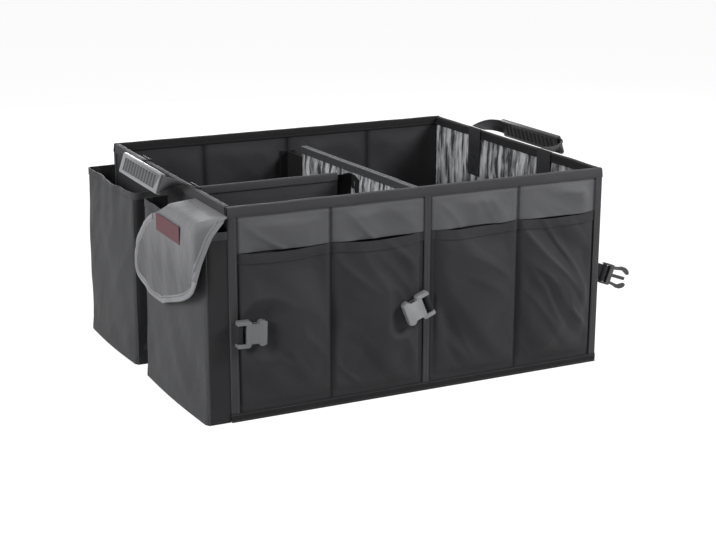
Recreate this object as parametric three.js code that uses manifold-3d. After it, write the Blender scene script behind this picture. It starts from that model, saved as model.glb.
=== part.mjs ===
// Collapsible fabric trunk organizer, millimetres, +Z up, front face towards -Y.
// The origin is the centre of the box's footprint on the floor. The walls are sewn sleeves of
// cloth with a stiffener board in each cell, bound along every edge with tape.
import * as THREE from 'three';
import { mergeVertices } from 'three/addons/utils/BufferGeometryUtils.js';
import Module from 'manifold-3d';

// Driving dimensions of the box
const LENGTH = 600; // along X, over the bindings
const WIDTH = 510; // along Y, over the bindings
const HEIGHT = 305; // floor to the top of the rim tape
const GAP = 0.3; // between pieces that touch
const CLOTH = 1.2; // one laminate of coated cloth, or one binding tape
const FLOOR = 2; // sewn cloth floor
const BOARD = 3; // stiffener board
const WALL = 6; // cloth, board and cloth
const TAPE = 12; // visible width of a binding tape
const FOOT_TAPE = 13; // width of the tape along the foot of the walls
const RIM_TAPE = 14; // how far the rim tape reaches down the wall
const RIM_WEB = 1.5; // tape over the wall's top edge
const SEAM_X = 3; // middle seam of the long walls, where the divider meets them
const BAY = 151; // from the middle seam to the seams either side of it
const END_SEAM_Y = 4; // fold seam of the two end walls
const SEAM_HALF = 3; // half the width of a sewn-through seam
const GROOVE = { half: 1, deep: 0.7 }; // line that the stitching pulls into the cloth

// Layers outwards from each wall: one layer on three sides, pocket cloth and tape on the front
const LAYER = CLOTH + GAP;
const LEFT = -LENGTH / 2 + LAYER;
const RIGHT = LENGTH / 2 - LAYER;
const FRONT = -WIDTH / 2 + 2 * LAYER;
const BACK = WIDTH / 2 - LAYER;
const WALL_FOOT = FLOOR + GAP;
const WALL_TOP = HEIGHT - RIM_WEB - GAP;
const INNER_X = LENGTH / 2 - 2 * LAYER - WALL; // inner face of the end walls' rim tape
const INNER_FRONT = FRONT + WALL + LAYER + GAP; // where the end walls and the divider start
const INNER_BACK = BACK - WALL - LAYER - GAP; // and where they stop

// Front pockets
const MOUTH_DROP = 65; // from the top of the rim to the pockets' mouth
const MOUTH_Z = HEIGHT - MOUTH_DROP;
const MOUTH_SAG = 4; // how far the mouth dips between two seams
const FRONT_BULGE = 11; // how far the mouth stands off the wall
const BULGE_FOOT = 5; // flat cloth above the foot tape, before the pocket swells

// Pockets on the left end
const POCKET_OUT = 36; // their depth at the front corner
const POCKET_SPLAY = 15; // how much deeper they are at the back corner
const POCKET_CROWN = 3; // how much further the middle of each pocket swells
const POCKET_LEAN = 4; // how much less deep they are at the mouth
const POCKET_CORNER = 9; // radius of the two outer corners
const POCKET_CLOTH = 1.5;
const POCKET_LIFT = 0.5; // the foot clears the ground by this
const STRIP = { from: END_SEAM_Y - 13, to: END_SEAM_Y + 30 }; // bare wall between the two
const FRONT_POCKET = { from: -WIDTH / 2 + 2, to: STRIP.from, top: HEIGHT - 33 };
const BACK_POCKET = { from: STRIP.to, to: WIDTH / 2 - 4, top: HEIGHT - 35 };

// How far the pockets' foot stands off the end of the box at place y
function pocketDepth(y) {
  const share = (y - FRONT_POCKET.from) / (BACK_POCKET.to - FRONT_POCKET.from);
  return POCKET_OUT + POCKET_SPLAY * share;
}

// Dividers
const DIVIDER_FRONT_Z = HEIGHT - 7.5; // top of the long divider at the front wall
const DIVIDER_BACK_Z = HEIGHT - 17; // and at the back end of its stiff part
const DIVIDER_FLANGE = 69; // soft strip from there to the back wall
const CROSS_Y = -14; // middle plane of the cross divider
const CROSS_Z = HEIGHT - 23;
const CAP_WEB = 2; // tape over a divider's top edge
// The strip with hook tape that holds the cross divider to the long one
const FLANGE = { reach: 27, half: 27, thick: 1.5, foot: 30, drop: 20 };
const CROSS_END = SEAM_X - WALL / 2 - FLANGE.reach; // where the stiff part of the cross divider stops

// Handles: a strap that turns about the rim and a moulded grip round its middle
const STRAP = 1.6;
const HINGE_X = LENGTH / 2 - LAYER - WALL / 2; // the middle of the wall
const HINGE_Z = HEIGHT + STRAP;
const LEG_INNER = 89; // a strap leg's edges along Y
const LEG_OUTER = 127;
const ANCHOR = 80; // how far the sewn strap ends reach down inside the wall
const GRIP = { out: 39.5, up: 0.4, half: 86, height: 31, thick: 8, tilt: 18, corner: 3, skin: 2.6 };
const GRIP_X = HINGE_X + GRIP.out;
const GRIP_Z = HINGE_Z + GRIP.up;
const RIBS = { count: 12, inset: 12, border: 6, deep: 1.4, share: 0.64 }; // recesses along the grip

// Flap over the front pocket of the left end
const FLAP_HINGE = { x: -LENGTH / 2 - 2, z: HEIGHT - 13 };
const FLAP_ROOT = -1.65; // the root edge lies this far inside the hinge line, against the rim tape
const FLAP_THICK = 2;
const FLAP_CLEAR = 4; // between the flap's middle surface and the fullest part of the pocket
const FLAP_OUT = LENGTH / 2 + pocketDepth(FRONT_POCKET.to) + POCKET_CROWN + FLAP_CLEAR;
const FLAP_BEND = 8; // radius where it turns down
const FLAP_FALL = 0.1; // slope of its upper part
const FLAP_LENGTH = 183; // along the cloth, from the hinge line to the foot
const FLAP_SPAN = 240; // along Y where it is widest
const FLAP_WRAP = 0.14; // share of the width that turns round the pocket's front corner
const FLAP_PROUD = 2.6; // how far the turned edge stands off the front
const FLAP_TUCK = { fade: 0.08, back: 4, under: 5 }; // the turned edge's end, tucked behind the foot
const FLAP_LEAD = 2.2; // how soon the turned edge clears the corner tape
const FLAP_TAPE = 9;
const LABEL = { from: 40, wide: 96, drop: 30, tall: 25, thick: 0.8 };

// Side-release buckles
const WEB = 25; // webbing width
const WEB_THICK = 1.3;
const BAR = 2.2; // radius of the bar that the webbing turns round
const BAR_BACK = 4.5; // from the bar to the buckle's back edge
const SLOT_FRONT = 8.5; // from the bar to the front of the webbing slot
const SLOT_CLEAR = 0.8; // beside the webbing in its slot
const BUCKLE_W = 38;
const FEMALE_L = 43;
const BODY_T = 10;
const SHELL_T = 2; // walls of the female buckle over and under its hollow
const FRAME_T = 6.8; // frame of the male buckle
const PRONG_T = 4.4;
const TONGUE_T = 3.6;

const wasm = await Module();
wasm.setup();

// Geometry helpers
function bare(geometry) {
  const copy = geometry.clone();
  copy.deleteAttribute('normal');
  copy.deleteAttribute('uv');
  return mergeVertices(copy, 1e-4);
}

function toSolid(geometry) {
  const g = bare(geometry);
  const mesh = new wasm.Mesh({
    numProp: 3,
    vertProperties: new Float32Array(g.attributes.position.array),
    triVerts: new Uint32Array(g.index.array),
  });
  return new wasm.Manifold(mesh);
}

function fromSolid(solid) {
  const mesh = solid.getMesh();
  const g = new THREE.BufferGeometry();
  g.setAttribute('position', new THREE.BufferAttribute(new Float32Array(mesh.vertProperties), 3));
  g.setIndex(new THREE.BufferAttribute(new Uint32Array(mesh.triVerts), 1));
  return g;
}

const cut = (body, tools) => fromSolid(tools.reduce((s, t) => s.subtract(toSolid(t)), toSolid(body)));
const join = (first, ...rest) =>
  fromSolid(rest.reduce((s, t) => s.add(toSolid(t)), toSolid(first)));

function box(x0, x1, y0, y1, z0, z1) {
  const g = new THREE.BoxGeometry(x1 - x0, y1 - y0, z1 - z0);
  return g.translate((x0 + x1) / 2, (y0 + y1) / 2, (z0 + z1) / 2);
}

const outline = (points) => new THREE.Shape(points.map(([a, b]) => new THREE.Vector2(a, b)));

function slab(shape, depth) {
  return new THREE.ExtrudeGeometry(shape, { depth, bevelEnabled: false, curveSegments: 10 });
}

// A (y, z) outline from x0 to x1, and an (x, z) outline from y0 to y1
function alongX(shape, x0, x1) {
  const turn = new THREE.Matrix4().makeBasis(
    new THREE.Vector3(0, 1, 0), new THREE.Vector3(0, 0, 1), new THREE.Vector3(1, 0, 0));
  return slab(shape, x1 - x0).applyMatrix4(turn).translate(x0, 0, 0);
}

function alongY(shape, y0, y1) {
  const turn = new THREE.Matrix4().makeBasis(
    new THREE.Vector3(1, 0, 0), new THREE.Vector3(0, 0, 1), new THREE.Vector3(0, -1, 0));
  return slab(shape, y1 - y0).applyMatrix4(turn).translate(0, y1, 0);
}

const alongZ = (shape, z0, z1) => slab(shape, z1 - z0).translate(0, 0, z0);

function roundedRect(a0, a1, b0, b1, r) {
  const s = new THREE.Shape();
  s.moveTo(a0 + r, b0);
  s.lineTo(a1 - r, b0);
  s.absarc(a1 - r, b0 + r, r, -Math.PI / 2, 0, false);
  s.lineTo(a1, b1 - r);
  s.absarc(a1 - r, b1 - r, r, 0, Math.PI / 2, false);
  s.lineTo(a0 + r, b1);
  s.absarc(a0 + r, b1 - r, r, Math.PI / 2, Math.PI, false);
  s.lineTo(a0, b0 + r);
  s.absarc(a0 + r, b0 + r, r, Math.PI, 1.5 * Math.PI, false);
  return s;
}

// Closed sheet between two skins, each a function of (u, v) in 0..1
function sheet(outer, inner, nu, nv) {
  const points = [];
  for (const skin of [outer, inner]) {
    for (let j = 0; j <= nv; j += 1) {
      for (let i = 0; i <= nu; i += 1) points.push(skin(i / nu, j / nv));
    }
  }
  const layer = (nu + 1) * (nv + 1);
  const at = (side, i, j) => side * layer + j * (nu + 1) + i;
  const faces = [];
  const quad = (a, b, c, d) => faces.push(a, b, c, a, c, d);
  for (let j = 0; j < nv; j += 1) {
    for (let i = 0; i < nu; i += 1) {
      quad(at(0, i, j), at(0, i + 1, j), at(0, i + 1, j + 1), at(0, i, j + 1));
      quad(at(1, i, j), at(1, i, j + 1), at(1, i + 1, j + 1), at(1, i + 1, j));
    }
  }
  for (let i = 0; i < nu; i += 1) {
    quad(at(0, i, 0), at(1, i, 0), at(1, i + 1, 0), at(0, i + 1, 0));
    quad(at(0, i, nv), at(0, i + 1, nv), at(1, i + 1, nv), at(1, i, nv));
  }
  for (let j = 0; j < nv; j += 1) {
    quad(at(0, 0, j), at(0, 0, j + 1), at(1, 0, j + 1), at(1, 0, j));
    quad(at(0, nu, j), at(1, nu, j), at(1, nu, j + 1), at(0, nu, j + 1));
  }
  let volume = 0;
  for (let k = 0; k < faces.length; k += 3) {
    const [a, b, c] = [points[faces[k]], points[faces[k + 1]], points[faces[k + 2]]];
    volume += a.dot(new THREE.Vector3().crossVectors(b, c));
  }
  if (volume < 0) faces.reverse();
  const g = new THREE.BufferGeometry();
  g.setAttribute('position', new THREE.Float32BufferAttribute(points.flatMap((p) => p.toArray()), 3));
  g.setIndex(faces);
  return g;
}

// Unit normal of a surface function by small differences
function normalOf(surface, u, v) {
  const step = 1e-3;
  const [u0, u1] = [Math.max(0, u - step), Math.min(1, u + step)];
  const [v0, v1] = [Math.max(0, v - step), Math.min(1, v + step)];
  const du = surface(u1, v).sub(surface(u0, v));
  const dv = surface(u, v1).sub(surface(u, v0));
  return du.cross(dv).normalize();
}

// Sheet of one thickness whose two skins lie at the given offsets from a surface
function offsetSheet(surface, low, high, nu, nv) {
  const skin = (d) => (u, v) => surface(u, v).addScaledVector(normalOf(surface, u, v), d);
  return sheet(skin(low), skin(high), nu, nv);
}

// Piecewise-linear reading of a curve given by [place, value] pairs
function follow(pairs, at) {
  let k = 1;
  while (k < pairs.length - 1 && pairs[k][0] < at) k += 1;
  const [a, b] = [pairs[k - 1], pairs[k]];
  const t = Math.min(1, Math.max(0, (at - a[0]) / (b[0] - a[0])));
  return a[1] + (b[1] - a[1]) * t;
}

const rad = THREE.MathUtils.degToRad;

// Materials
const paint = (color, roughness, metalness = 0) => ({ color, roughness, metalness });
const FINISH = {
  shell: paint(0x2b2c2f, 0.8),
  pocket: paint(0x303134, 0.78),
  band: paint(0x545559, 0.7),
  endPocket: paint(0x4c4d50, 0.75),
  binding: paint(0x3c3d41, 0.7),
  board: paint(0x8a7a63, 0.9),
  basePanel: paint(0x26272a, 0.8),
  divider: paint(0x3a3b3f, 0.6),
  flap: paint(0x7d7e81, 0.7),
  flapBinding: paint(0x94959a, 0.65),
  label: paint(0x7c2b33, 0.8),
  hook: paint(0x232427, 0.95),
  webbing: paint(0x1e1f21, 0.8),
  grip: paint(0xa3a5aa, 0.45),
  darkGrip: paint(0x1c1d1f, 0.5),
  buckle: paint(0x77797d, 0.4),
  blackBuckle: paint(0x141416, 0.4),
};

const organizer = new THREE.Group();

function add(name, geometry, finish, parent = organizer) {
  const mesh = new THREE.Mesh(bare(geometry), new THREE.MeshStandardMaterial(finish));
  mesh.name = name;
  parent.add(mesh);
  return mesh;
}

// Base: the sewn cloth floor and two loose boards that press it flat
function base() {
  add('base_sheet', box(LEFT, RIGHT, FRONT, BACK, 0, FLOOR), FINISH.shell);
  const place = [INNER_FRONT, INNER_BACK, WALL_FOOT, WALL_FOOT + BOARD];
  const half = WALL / 2 + GAP;
  add('base_board_left', box(-INNER_X, SEAM_X - half, ...place), FINISH.basePanel);
  add('base_board_right', box(SEAM_X + half, INNER_X, ...place), FINISH.basePanel);
}

// A wall sleeve along X or Y: cells for the boards, open at the top, and a groove at each seam
function wallSleeve(name, alongLength, from, to, near, seams) {
  const place = (a0, a1, t0, t1, z0, z1) =>
    (alongLength ? box(a0, a1, t0, t1, z0, z1) : box(t0, t1, a0, a1, z0, z1));
  const far = near + WALL;
  const cutters = [];
  const edges = [from + CLOTH - SEAM_HALF, ...seams, to - CLOTH + SEAM_HALF];
  for (let k = 1; k < edges.length; k += 1) {
    const [a0, a1] = [edges[k - 1] + SEAM_HALF, edges[k] - SEAM_HALF];
    cutters.push(place(a0, a1, near + CLOTH, far - CLOTH, WALL_FOOT + CLOTH, HEIGHT));
    const board = place(a0 + GAP, a1 - GAP, near + CLOTH + GAP, far - CLOTH - GAP,
      WALL_FOOT + CLOTH + GAP, WALL_TOP - GAP);
    const where = alongLength ? k : ['front', 'back'][k - 1];
    add(`${name}_stiffener_${where}`, board, FINISH.board);
  }
  for (const seam of seams) {
    for (const face of [near, far]) {
      const across = [face - GROOVE.deep, face + GROOVE.deep];
      cutters.push(place(seam - GROOVE.half, seam + GROOVE.half, ...across, 0, HEIGHT));
    }
  }
  const body = place(from, to, near, far, WALL_FOOT, WALL_TOP);
  add(`${name}_wall_cover`, cut(body, cutters), FINISH.shell);
}

function walls() {
  const seams = [SEAM_X - BAY, SEAM_X, SEAM_X + BAY];
  wallSleeve('front', true, LEFT, RIGHT, FRONT, seams);
  wallSleeve('back', true, LEFT, RIGHT, BACK - WALL, seams);
  wallSleeve('left', false, INNER_FRONT, INNER_BACK, LEFT, [END_SEAM_Y]);
  wallSleeve('right', false, INNER_FRONT, INNER_BACK, RIGHT - WALL, [END_SEAM_Y]);
}

// Tape folded over a wall's top edge: two legs and the web that joins them
function rimTape(name, across, from, to, outer, inner) {
  const [t0, t1] = [Math.min(outer, inner), Math.max(outer, inner)];
  const place = (a, b, z) =>
    (across ? box(from, to, a, b, z, HEIGHT) : box(a, b, from, to, z, HEIGHT));
  const foot = HEIGHT - RIM_TAPE;
  const legs = [place(t0, t0 + CLOTH, foot), place(t1 - CLOTH, t1, foot)];
  add(`rim_binding_${name}`, join(place(t0, t1, WALL_TOP + GAP), ...legs), FINISH.binding);
}

function bindings() {
  const [hx, hy] = [LENGTH / 2, WIDTH / 2];
  rimTape('front', true, -hx, hx, -hy, FRONT + WALL + LAYER);
  rimTape('back', true, -hx, hx, hy, BACK - WALL - LAYER);
  rimTape('left', false, INNER_FRONT, INNER_BACK, -hx, -INNER_X);
  rimTape('right', false, INNER_FRONT, INNER_BACK, hx, INNER_X);
  const [z0, z1] = [FOOT_TAPE + GAP, HEIGHT - RIM_TAPE - GAP];
  for (const [side, sx] of [['left', -1], ['right', 1]]) {
    for (const [end, sy] of [['front', -1], ['back', 1]]) {
      const [x, y] = [sx * hx, sy * hy];
      const corner = outline([[x, y], [x - sx * TAPE, y], [x - sx * TAPE, y - sy * CLOTH],
        [x - sx * CLOTH, y - sy * CLOTH], [x - sx * CLOTH, y - sy * TAPE], [x, y - sy * TAPE]]);
      add(`corner_binding_${end}_${side}`, alongZ(corner, z0, z1), FINISH.binding);
    }
  }
  const foot = (x0, x1, y0, y1) => box(x0, x1, y0, y1, 0, FOOT_TAPE);
  add('bottom_binding_front', foot(-hx, hx, -hy, -hy + CLOTH), FINISH.binding);
  add('bottom_binding_back', foot(LEFT, hx, hy - CLOTH, hy), FINISH.binding);
  add('bottom_binding_right', foot(hx - CLOTH, hx, -hy + LAYER, hy - LAYER), FINISH.binding);
  const half = TAPE / 2 - 1;
  const middle = box(SEAM_X - half, SEAM_X + half, -hy, -hy + CLOTH, z0, z1);
  add('front_centre_binding', middle, FINISH.binding);
}

// Front: a paler band of cloth under the rim and two pockets, each sewn down its middle
function frontPocket(name, from, to, middle) {
  const spans = [[from + FOOT_TAPE, middle - SEAM_HALF], [middle + SEAM_HALF, to - FOOT_TAPE]];
  const shape = (x) => {
    const [a, b] = spans[x < middle ? 0 : 1];
    const t = (x - a) / (b - a);
    return t <= 0 || t >= 1 ? 0 : Math.pow(Math.sin(Math.PI * t), 0.8);
  };
  const steps = 9;
  const places = [from];
  for (const [a, b] of spans) {
    for (let k = 0; k <= steps; k += 1) places.push(a + (b - a) * (k / steps));
  }
  places.push(to);
  const nu = places.length - 1;
  const low = (FOOT_TAPE + BULGE_FOOT - WALL_FOOT) / (MOUTH_Z - WALL_FOOT);
  const skin = (depth) => (u, v) => {
    const x = places[Math.round(u * nu)];
    const full = shape(x);
    const z = WALL_FOOT + (MOUTH_Z - MOUTH_SAG * full - WALL_FOOT) * v;
    const rise = v <= low ? 0 : (v - low) / (1 - low);
    const swell = FRONT_BULGE * full * (0.55 * Math.sin(Math.PI * rise / 2) + 0.45 * rise * rise);
    return new THREE.Vector3(x, FRONT - GAP - depth - swell, z);
  };
  add(name, sheet(skin(CLOTH), skin(0), nu, 10), FINISH.pocket);
}

function frontFace() {
  frontPocket('front_pocket_left', LEFT + GAP, SEAM_X - GAP / 2, SEAM_X - BAY);
  frontPocket('front_pocket_right', SEAM_X + GAP / 2, RIGHT - GAP, SEAM_X + BAY);
  const face = FRONT - LAYER;
  const band = box(LEFT + GAP, RIGHT - GAP, face, FRONT - GAP, MOUTH_Z + GAP, HEIGHT - 2 * RIM_WEB);
  const across = [face - GROOVE.deep, face + GROOVE.deep, 0, HEIGHT];
  const grooves = [SEAM_X - BAY, SEAM_X + BAY].map((x) =>
    box(x - GROOVE.half, x + GROOVE.half, ...across));
  add('front_upper_band', cut(band, grooves), FINISH.band);
}

// Pocket on the left end: a face and two gussets round an open-topped hollow, closed at its foot
function endPocket(name, { from, to, top }) {
  const ring = (inset, z) => {
    const out = (y) => LENGTH / 2 + pocketDepth(y) - POCKET_LEAN * (z / top) - inset;
    const [y0, y1] = [from + inset, to - inset];
    const r = POCKET_CORNER;
    const points = [];
    const wall = -LENGTH / 2 - GAP + (inset > 0 ? POCKET_CLOTH : 0);
    points.push([wall, y0]);
    for (let k = 0; k <= 3; k += 1) {
      const a = (Math.PI / 2) * (k / 3);
      points.push([-out(y0 + r) + r - r * Math.sin(a), y0 + r - r * Math.cos(a)]);
    }
    for (let k = 1; k < 8; k += 1) {
      const t = k / 8;
      const y = y0 + r + (y1 - y0 - 2 * r) * t;
      points.push([-out(y) - POCKET_CROWN * Math.sin(Math.PI * t), y]);
    }
    for (let k = 0; k <= 3; k += 1) {
      const a = (Math.PI / 2) * (k / 3);
      points.push([-out(y1 - r) + r - r * Math.cos(a), y1 - r + r * Math.sin(a)]);
    }
    points.push([wall, y1]);
    return points.reverse();
  };
  const loft = (inset, z0, z1) => {
    const [low, high] = [ring(inset, z0), ring(inset, z1)];
    const n = low.length;
    const positions = [...low.map((p) => [...p, z0]), ...high.map((p) => [...p, z1])].flat();
    const caps = THREE.ShapeUtils.triangulateShape(low.map(([a, b]) => new THREE.Vector2(a, b)), []);
    const faces = [];
    for (const [a, b, c] of caps) faces.push(a, c, b, n + a, n + b, n + c);
    for (let k = 0; k < n; k += 1) {
      const next = (k + 1) % n;
      faces.push(k, next, n + next, k, n + next, n + k);
    }
    const g = new THREE.BufferGeometry();
    g.setAttribute('position', new THREE.Float32BufferAttribute(positions, 3));
    g.setIndex(faces);
    return g;
  };
  const hollow = loft(POCKET_CLOTH, POCKET_LIFT + POCKET_CLOTH, top + POCKET_CLOTH);
  add(name, cut(loft(0, POCKET_LIFT, top), [hollow]), FINISH.endPocket);
}

// Handle: strap from anchor to anchor through the grip. side is -1 at the left end, 1 at the right
function handle(name, side, gripFinish) {
  const inGrip = 0.6; // share of the strap's half that runs through the grip
  const lean = rad(GRIP.tilt);
  const clearEnd = GRIP.half + 2;
  const strapPath = (t, outerEdge) => {
    const away = Math.abs(t - 0.5) * 2;
    const mirror = t < 0.5 ? -1 : 1;
    const leg = Math.max(0, (away - inGrip) / (1 - inGrip));
    const reach = (GRIP.height / 2 - GRIP.skin - 0.9) * (outerEdge ? 1 : -1);
    const start = [GRIP_X - reach * Math.sin(lean), clearEnd, GRIP_Z + reach * Math.cos(lean)];
    if (leg === 0) return [start[0], mirror * away / inGrip * clearEnd, start[2]];
    const end = [HINGE_X + 0.75 * STRAP, outerEdge ? LEG_OUTER : LEG_INNER, HINGE_Z];
    const knee = outerEdge
      ? [HINGE_X + 0.76 * GRIP.out, LEG_OUTER - 6, HINGE_Z + 15]
      : [HINGE_X + 0.56 * GRIP.out, LEG_INNER, HINGE_Z - 1];
    const mix = (k) =>
      (1 - leg) ** 2 * start[k] + 2 * leg * (1 - leg) * knee[k] + leg * leg * end[k];
    return [mix(0), mirror * mix(1), mix(2)];
  };
  const ribbon = (u, v) => {
    const [a, b] = [strapPath(u, false), strapPath(u, true)];
    const p = a.map((value, k) => value + (b[k] - value) * v);
    return new THREE.Vector3(side * p[0], p[1], p[2]);
  };
  const webbing = offsetSheet(ribbon, -STRAP / 2, STRAP / 2, 30, 3);
  add(`${name}_handle_webbing`, webbing, FINISH.webbing);

  const { half, height, thick, skin } = GRIP;
  const section = roundedRect(-thick / 2, thick / 2, -height / 2, height / 2, GRIP.corner);
  const plate = alongY(section, -half, half);
  const tunnel = STRAP / 2 + 0.5;
  const cutters = [box(-tunnel, tunnel, -half - 1, half + 1, -height / 2 + skin, height / 2 - skin)];
  const pitch = 2 * (half - RIBS.inset) / RIBS.count;
  for (let k = 0; k < RIBS.count; k += 1) {
    const y = -half + RIBS.inset + pitch * (k + 0.5);
    const [wide, tall] = [pitch * RIBS.share / 2, height / 2 - RIBS.border];
    const field = [y - wide, y + wide, -tall, tall];
    cutters.push(box(thick / 2 - RIBS.deep, thick, ...field));
    cutters.push(box(-thick, -thick / 2 + RIBS.deep, ...field));
  }
  const grip = cut(plate, cutters).rotateY(-side * lean).translate(side * GRIP_X, 0, GRIP_Z);
  add(`${name}_handle_grip`, grip, gripFinish);

  // The strap's sewn ends on the inside of the wall, turned over the rim to meet the strap
  const [face, foot, rim] = [INNER_X - GAP, HEIGHT - ANCHOR, HEIGHT + GAP];
  const corners = [[face, foot], [face - STRAP, foot], [face - STRAP, rim + STRAP],
    [face + STRAP, rim + STRAP], [face + STRAP, rim], [face, rim]];
  const profile = outline(corners.map(([x, z]) => [side * x, z]));
  for (const [end, s] of [['front', -1], ['back', 1]]) {
    const [y0, y1] = [s * LEG_INNER, s * LEG_OUTER].sort((a, b) => a - b);
    add(`${name}_handle_anchor_${end}`, alongY(profile, y0, y1), FINISH.webbing);
  }
}

// Outline of the flap: its back edge and its foot edge as [share of the length, share of the span],
// and the turned front edge as [share of the length, out from the wall, down from the rim]
const FLAP_BACK = [[0, 0.5], [0.26, 0.5], [0.34, 0.69], [0.42, 0.79], [0.51, 0.87], [0.63, 0.95],
  [0.765, 1], [0.86, 1], [0.92, 0.965], [0.965, 0.885], [1, 0.75]];
const FLAP_FOOT = [[0, 0], [0.7, 0], [0.754, 0.037], [0.82, 0.125], [0.896, 0.29], [0.96, 0.465],
  [1, 0.583]];
const FLAP_TURN = 0.634; // share of the length at which the front edge is back on the hanging part
const FLAP_DIAGONAL = [[0, 3.2, 13], [0.25, 24, 37], [0.49, 40, 72], [FLAP_TURN, 48, 97]];

// Point on the flap's middle surface, s along the cloth from the hinge line
function flapPoint(s, y) {
  const top = FLAP_OUT + FLAP_HINGE.x - FLAP_BEND;
  const bend = FLAP_BEND * Math.PI / 2;
  if (s < top) return [FLAP_HINGE.x - s, y, FLAP_HINGE.z - s * FLAP_FALL];
  const z = FLAP_HINGE.z - top * FLAP_FALL;
  const a = (s - top) / FLAP_BEND;
  if (s >= top + bend) return [-FLAP_OUT, y, z - FLAP_BEND - (s - top - bend)];
  const out = top + FLAP_BEND * Math.sin(a);
  return [FLAP_HINGE.x - out, y, z - FLAP_BEND * (1 - Math.cos(a))];
}

function flapSurface(u, v) {
  const s = FLAP_ROOT + (FLAP_LENGTH - FLAP_ROOT) * v;
  const share = s / FLAP_LENGTH;
  const yBack = FRONT + FLAP_SPAN * follow(FLAP_BACK, share);
  const yFoot = FRONT + FLAP_SPAN * follow(FLAP_FOOT, share);
  if (u >= FLAP_WRAP) {
    const t = (u - FLAP_WRAP) / (1 - FLAP_WRAP);
    return new THREE.Vector3(...flapPoint(s, yFoot + (yBack - yFoot) * t));
  }
  const corner = flapPoint(s, yFoot);
  const t = 1 - u / FLAP_WRAP;
  if (share >= FLAP_TURN) {
    const fade = Math.max(0, 1 - (share - FLAP_TURN) / FLAP_TUCK.fade);
    const x = corner[0] + t * fade * FLAP_TUCK.back;
    return new THREE.Vector3(x, yFoot - t * FLAP_TUCK.under, corner[2]);
  }
  const edgeX = -LENGTH / 2 - follow(FLAP_DIAGONAL, share);
  const edgeZ = HEIGHT - follow(FLAP_DIAGONAL.map(([at, , down]) => [at, down]), share);
  const swing = Math.min(1, t * FLAP_LEAD) * (2 * LAYER + FLAP_PROUD);
  return new THREE.Vector3(corner[0] + (edgeX - corner[0]) * t * t, FRONT - swing,
    corner[2] + (edgeZ - corner[2]) * t);
}

function flap() {
  const half = FLAP_THICK / 2;
  add('pocket_flap', offsetSheet(flapSurface, -half, half, 14, 26), FINISH.flap);
  // The tape follows the two sides and the foot, just clear of the cloth
  const inU = 0.07;
  const inV = FLAP_TAPE / FLAP_LENGTH;
  const tapePlace = (u, v) => {
    const path = u * 3;
    const [du, dv] = [inU * (1 - v), inV * (1 - v)];
    if (path <= 1) return [du, 0.06 + (0.94 - dv) * path];
    if (path <= 2) return [du + (1 - 2 * du) * (path - 1), 1 - dv];
    return [1 - du, 1 - dv - (0.6 - dv) * (path - 2)];
  };
  const tapeSkin = (d) => (u, v) => {
    const place = tapePlace(u, v);
    return flapSurface(...place).addScaledVector(normalOf(flapSurface, ...place), d);
  };
  const lift = half + 4 * GAP;
  const tape = sheet(tapeSkin(lift + 1), tapeSkin(lift), 108, 1);
  add('pocket_flap_binding', tape, FINISH.flapBinding);
  const face = -FLAP_OUT - half - GAP;
  const [y, z] = [FRONT + LABEL.from, HEIGHT - LABEL.drop];
  const label = box(face - LABEL.thick, face, y, y + LABEL.wide, z - LABEL.tall, z);
  add('pocket_flap_label', label, FINISH.label);
}

// The webbing slot round a square bar at the origin, cut through a body between y0 and y1
function webbingSlot(y0, y1) {
  const side = WEB / 2 + SLOT_CLEAR;
  const back = -2 * BAR_BACK;
  return [
    box(BAR, SLOT_FRONT, y0 - 1, y1 + 1, -side, side),
    box(back, -BAR, y0 - 1, y1 + 1, -side, side),
    box(back, SLOT_FRONT, BAR, y1 + 1, -side, side),
    box(back, SLOT_FRONT, y0 - 1, -BAR, -side, side),
  ];
}

// Buckles: built with the bar at the origin, mouth towards +X, face towards -Y, then turned in place.
// The socket is a flat shell, waisted where its side windows show the prongs
function femaleBuckle() {
  const w = BUCKLE_W / 2;
  const [a, b] = [-BAR_BACK, FEMALE_L - BAR_BACK];
  const waist = w - 5;
  const body = new THREE.Shape();
  body.moveTo(a + 3, -w);
  body.lineTo(12, -w);
  body.quadraticCurveTo(15, -w, 16, -waist);
  body.lineTo(b - 12, -waist);
  body.quadraticCurveTo(b - 9, -w, b - 5, -w + 1);
  body.lineTo(b, -w + 3);
  body.lineTo(b, w - 3);
  body.lineTo(b - 5, w - 1);
  body.quadraticCurveTo(b - 9, w, b - 12, waist);
  body.lineTo(16, waist);
  body.quadraticCurveTo(15, w, 12, w);
  body.lineTo(a + 3, w);
  body.quadraticCurveTo(a, w, a, w - 3);
  body.lineTo(a, -w + 3);
  body.quadraticCurveTo(a, -w, a + 3, -w);
  const [y0, y1] = [-BODY_T / 2 - 1, BODY_T / 2 - 1];
  const hollow = [y0 + SHELL_T, y1 - SHELL_T];
  const mouth = box(14, b + 1, ...hollow, -waist + 2, waist - 2);
  const windows = box(17, b - 13, ...hollow, -w - 1, w + 1);
  return cut(alongY(body, y0, y1), [...webbingSlot(y0, y1), mouth, windows]);
}

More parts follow.
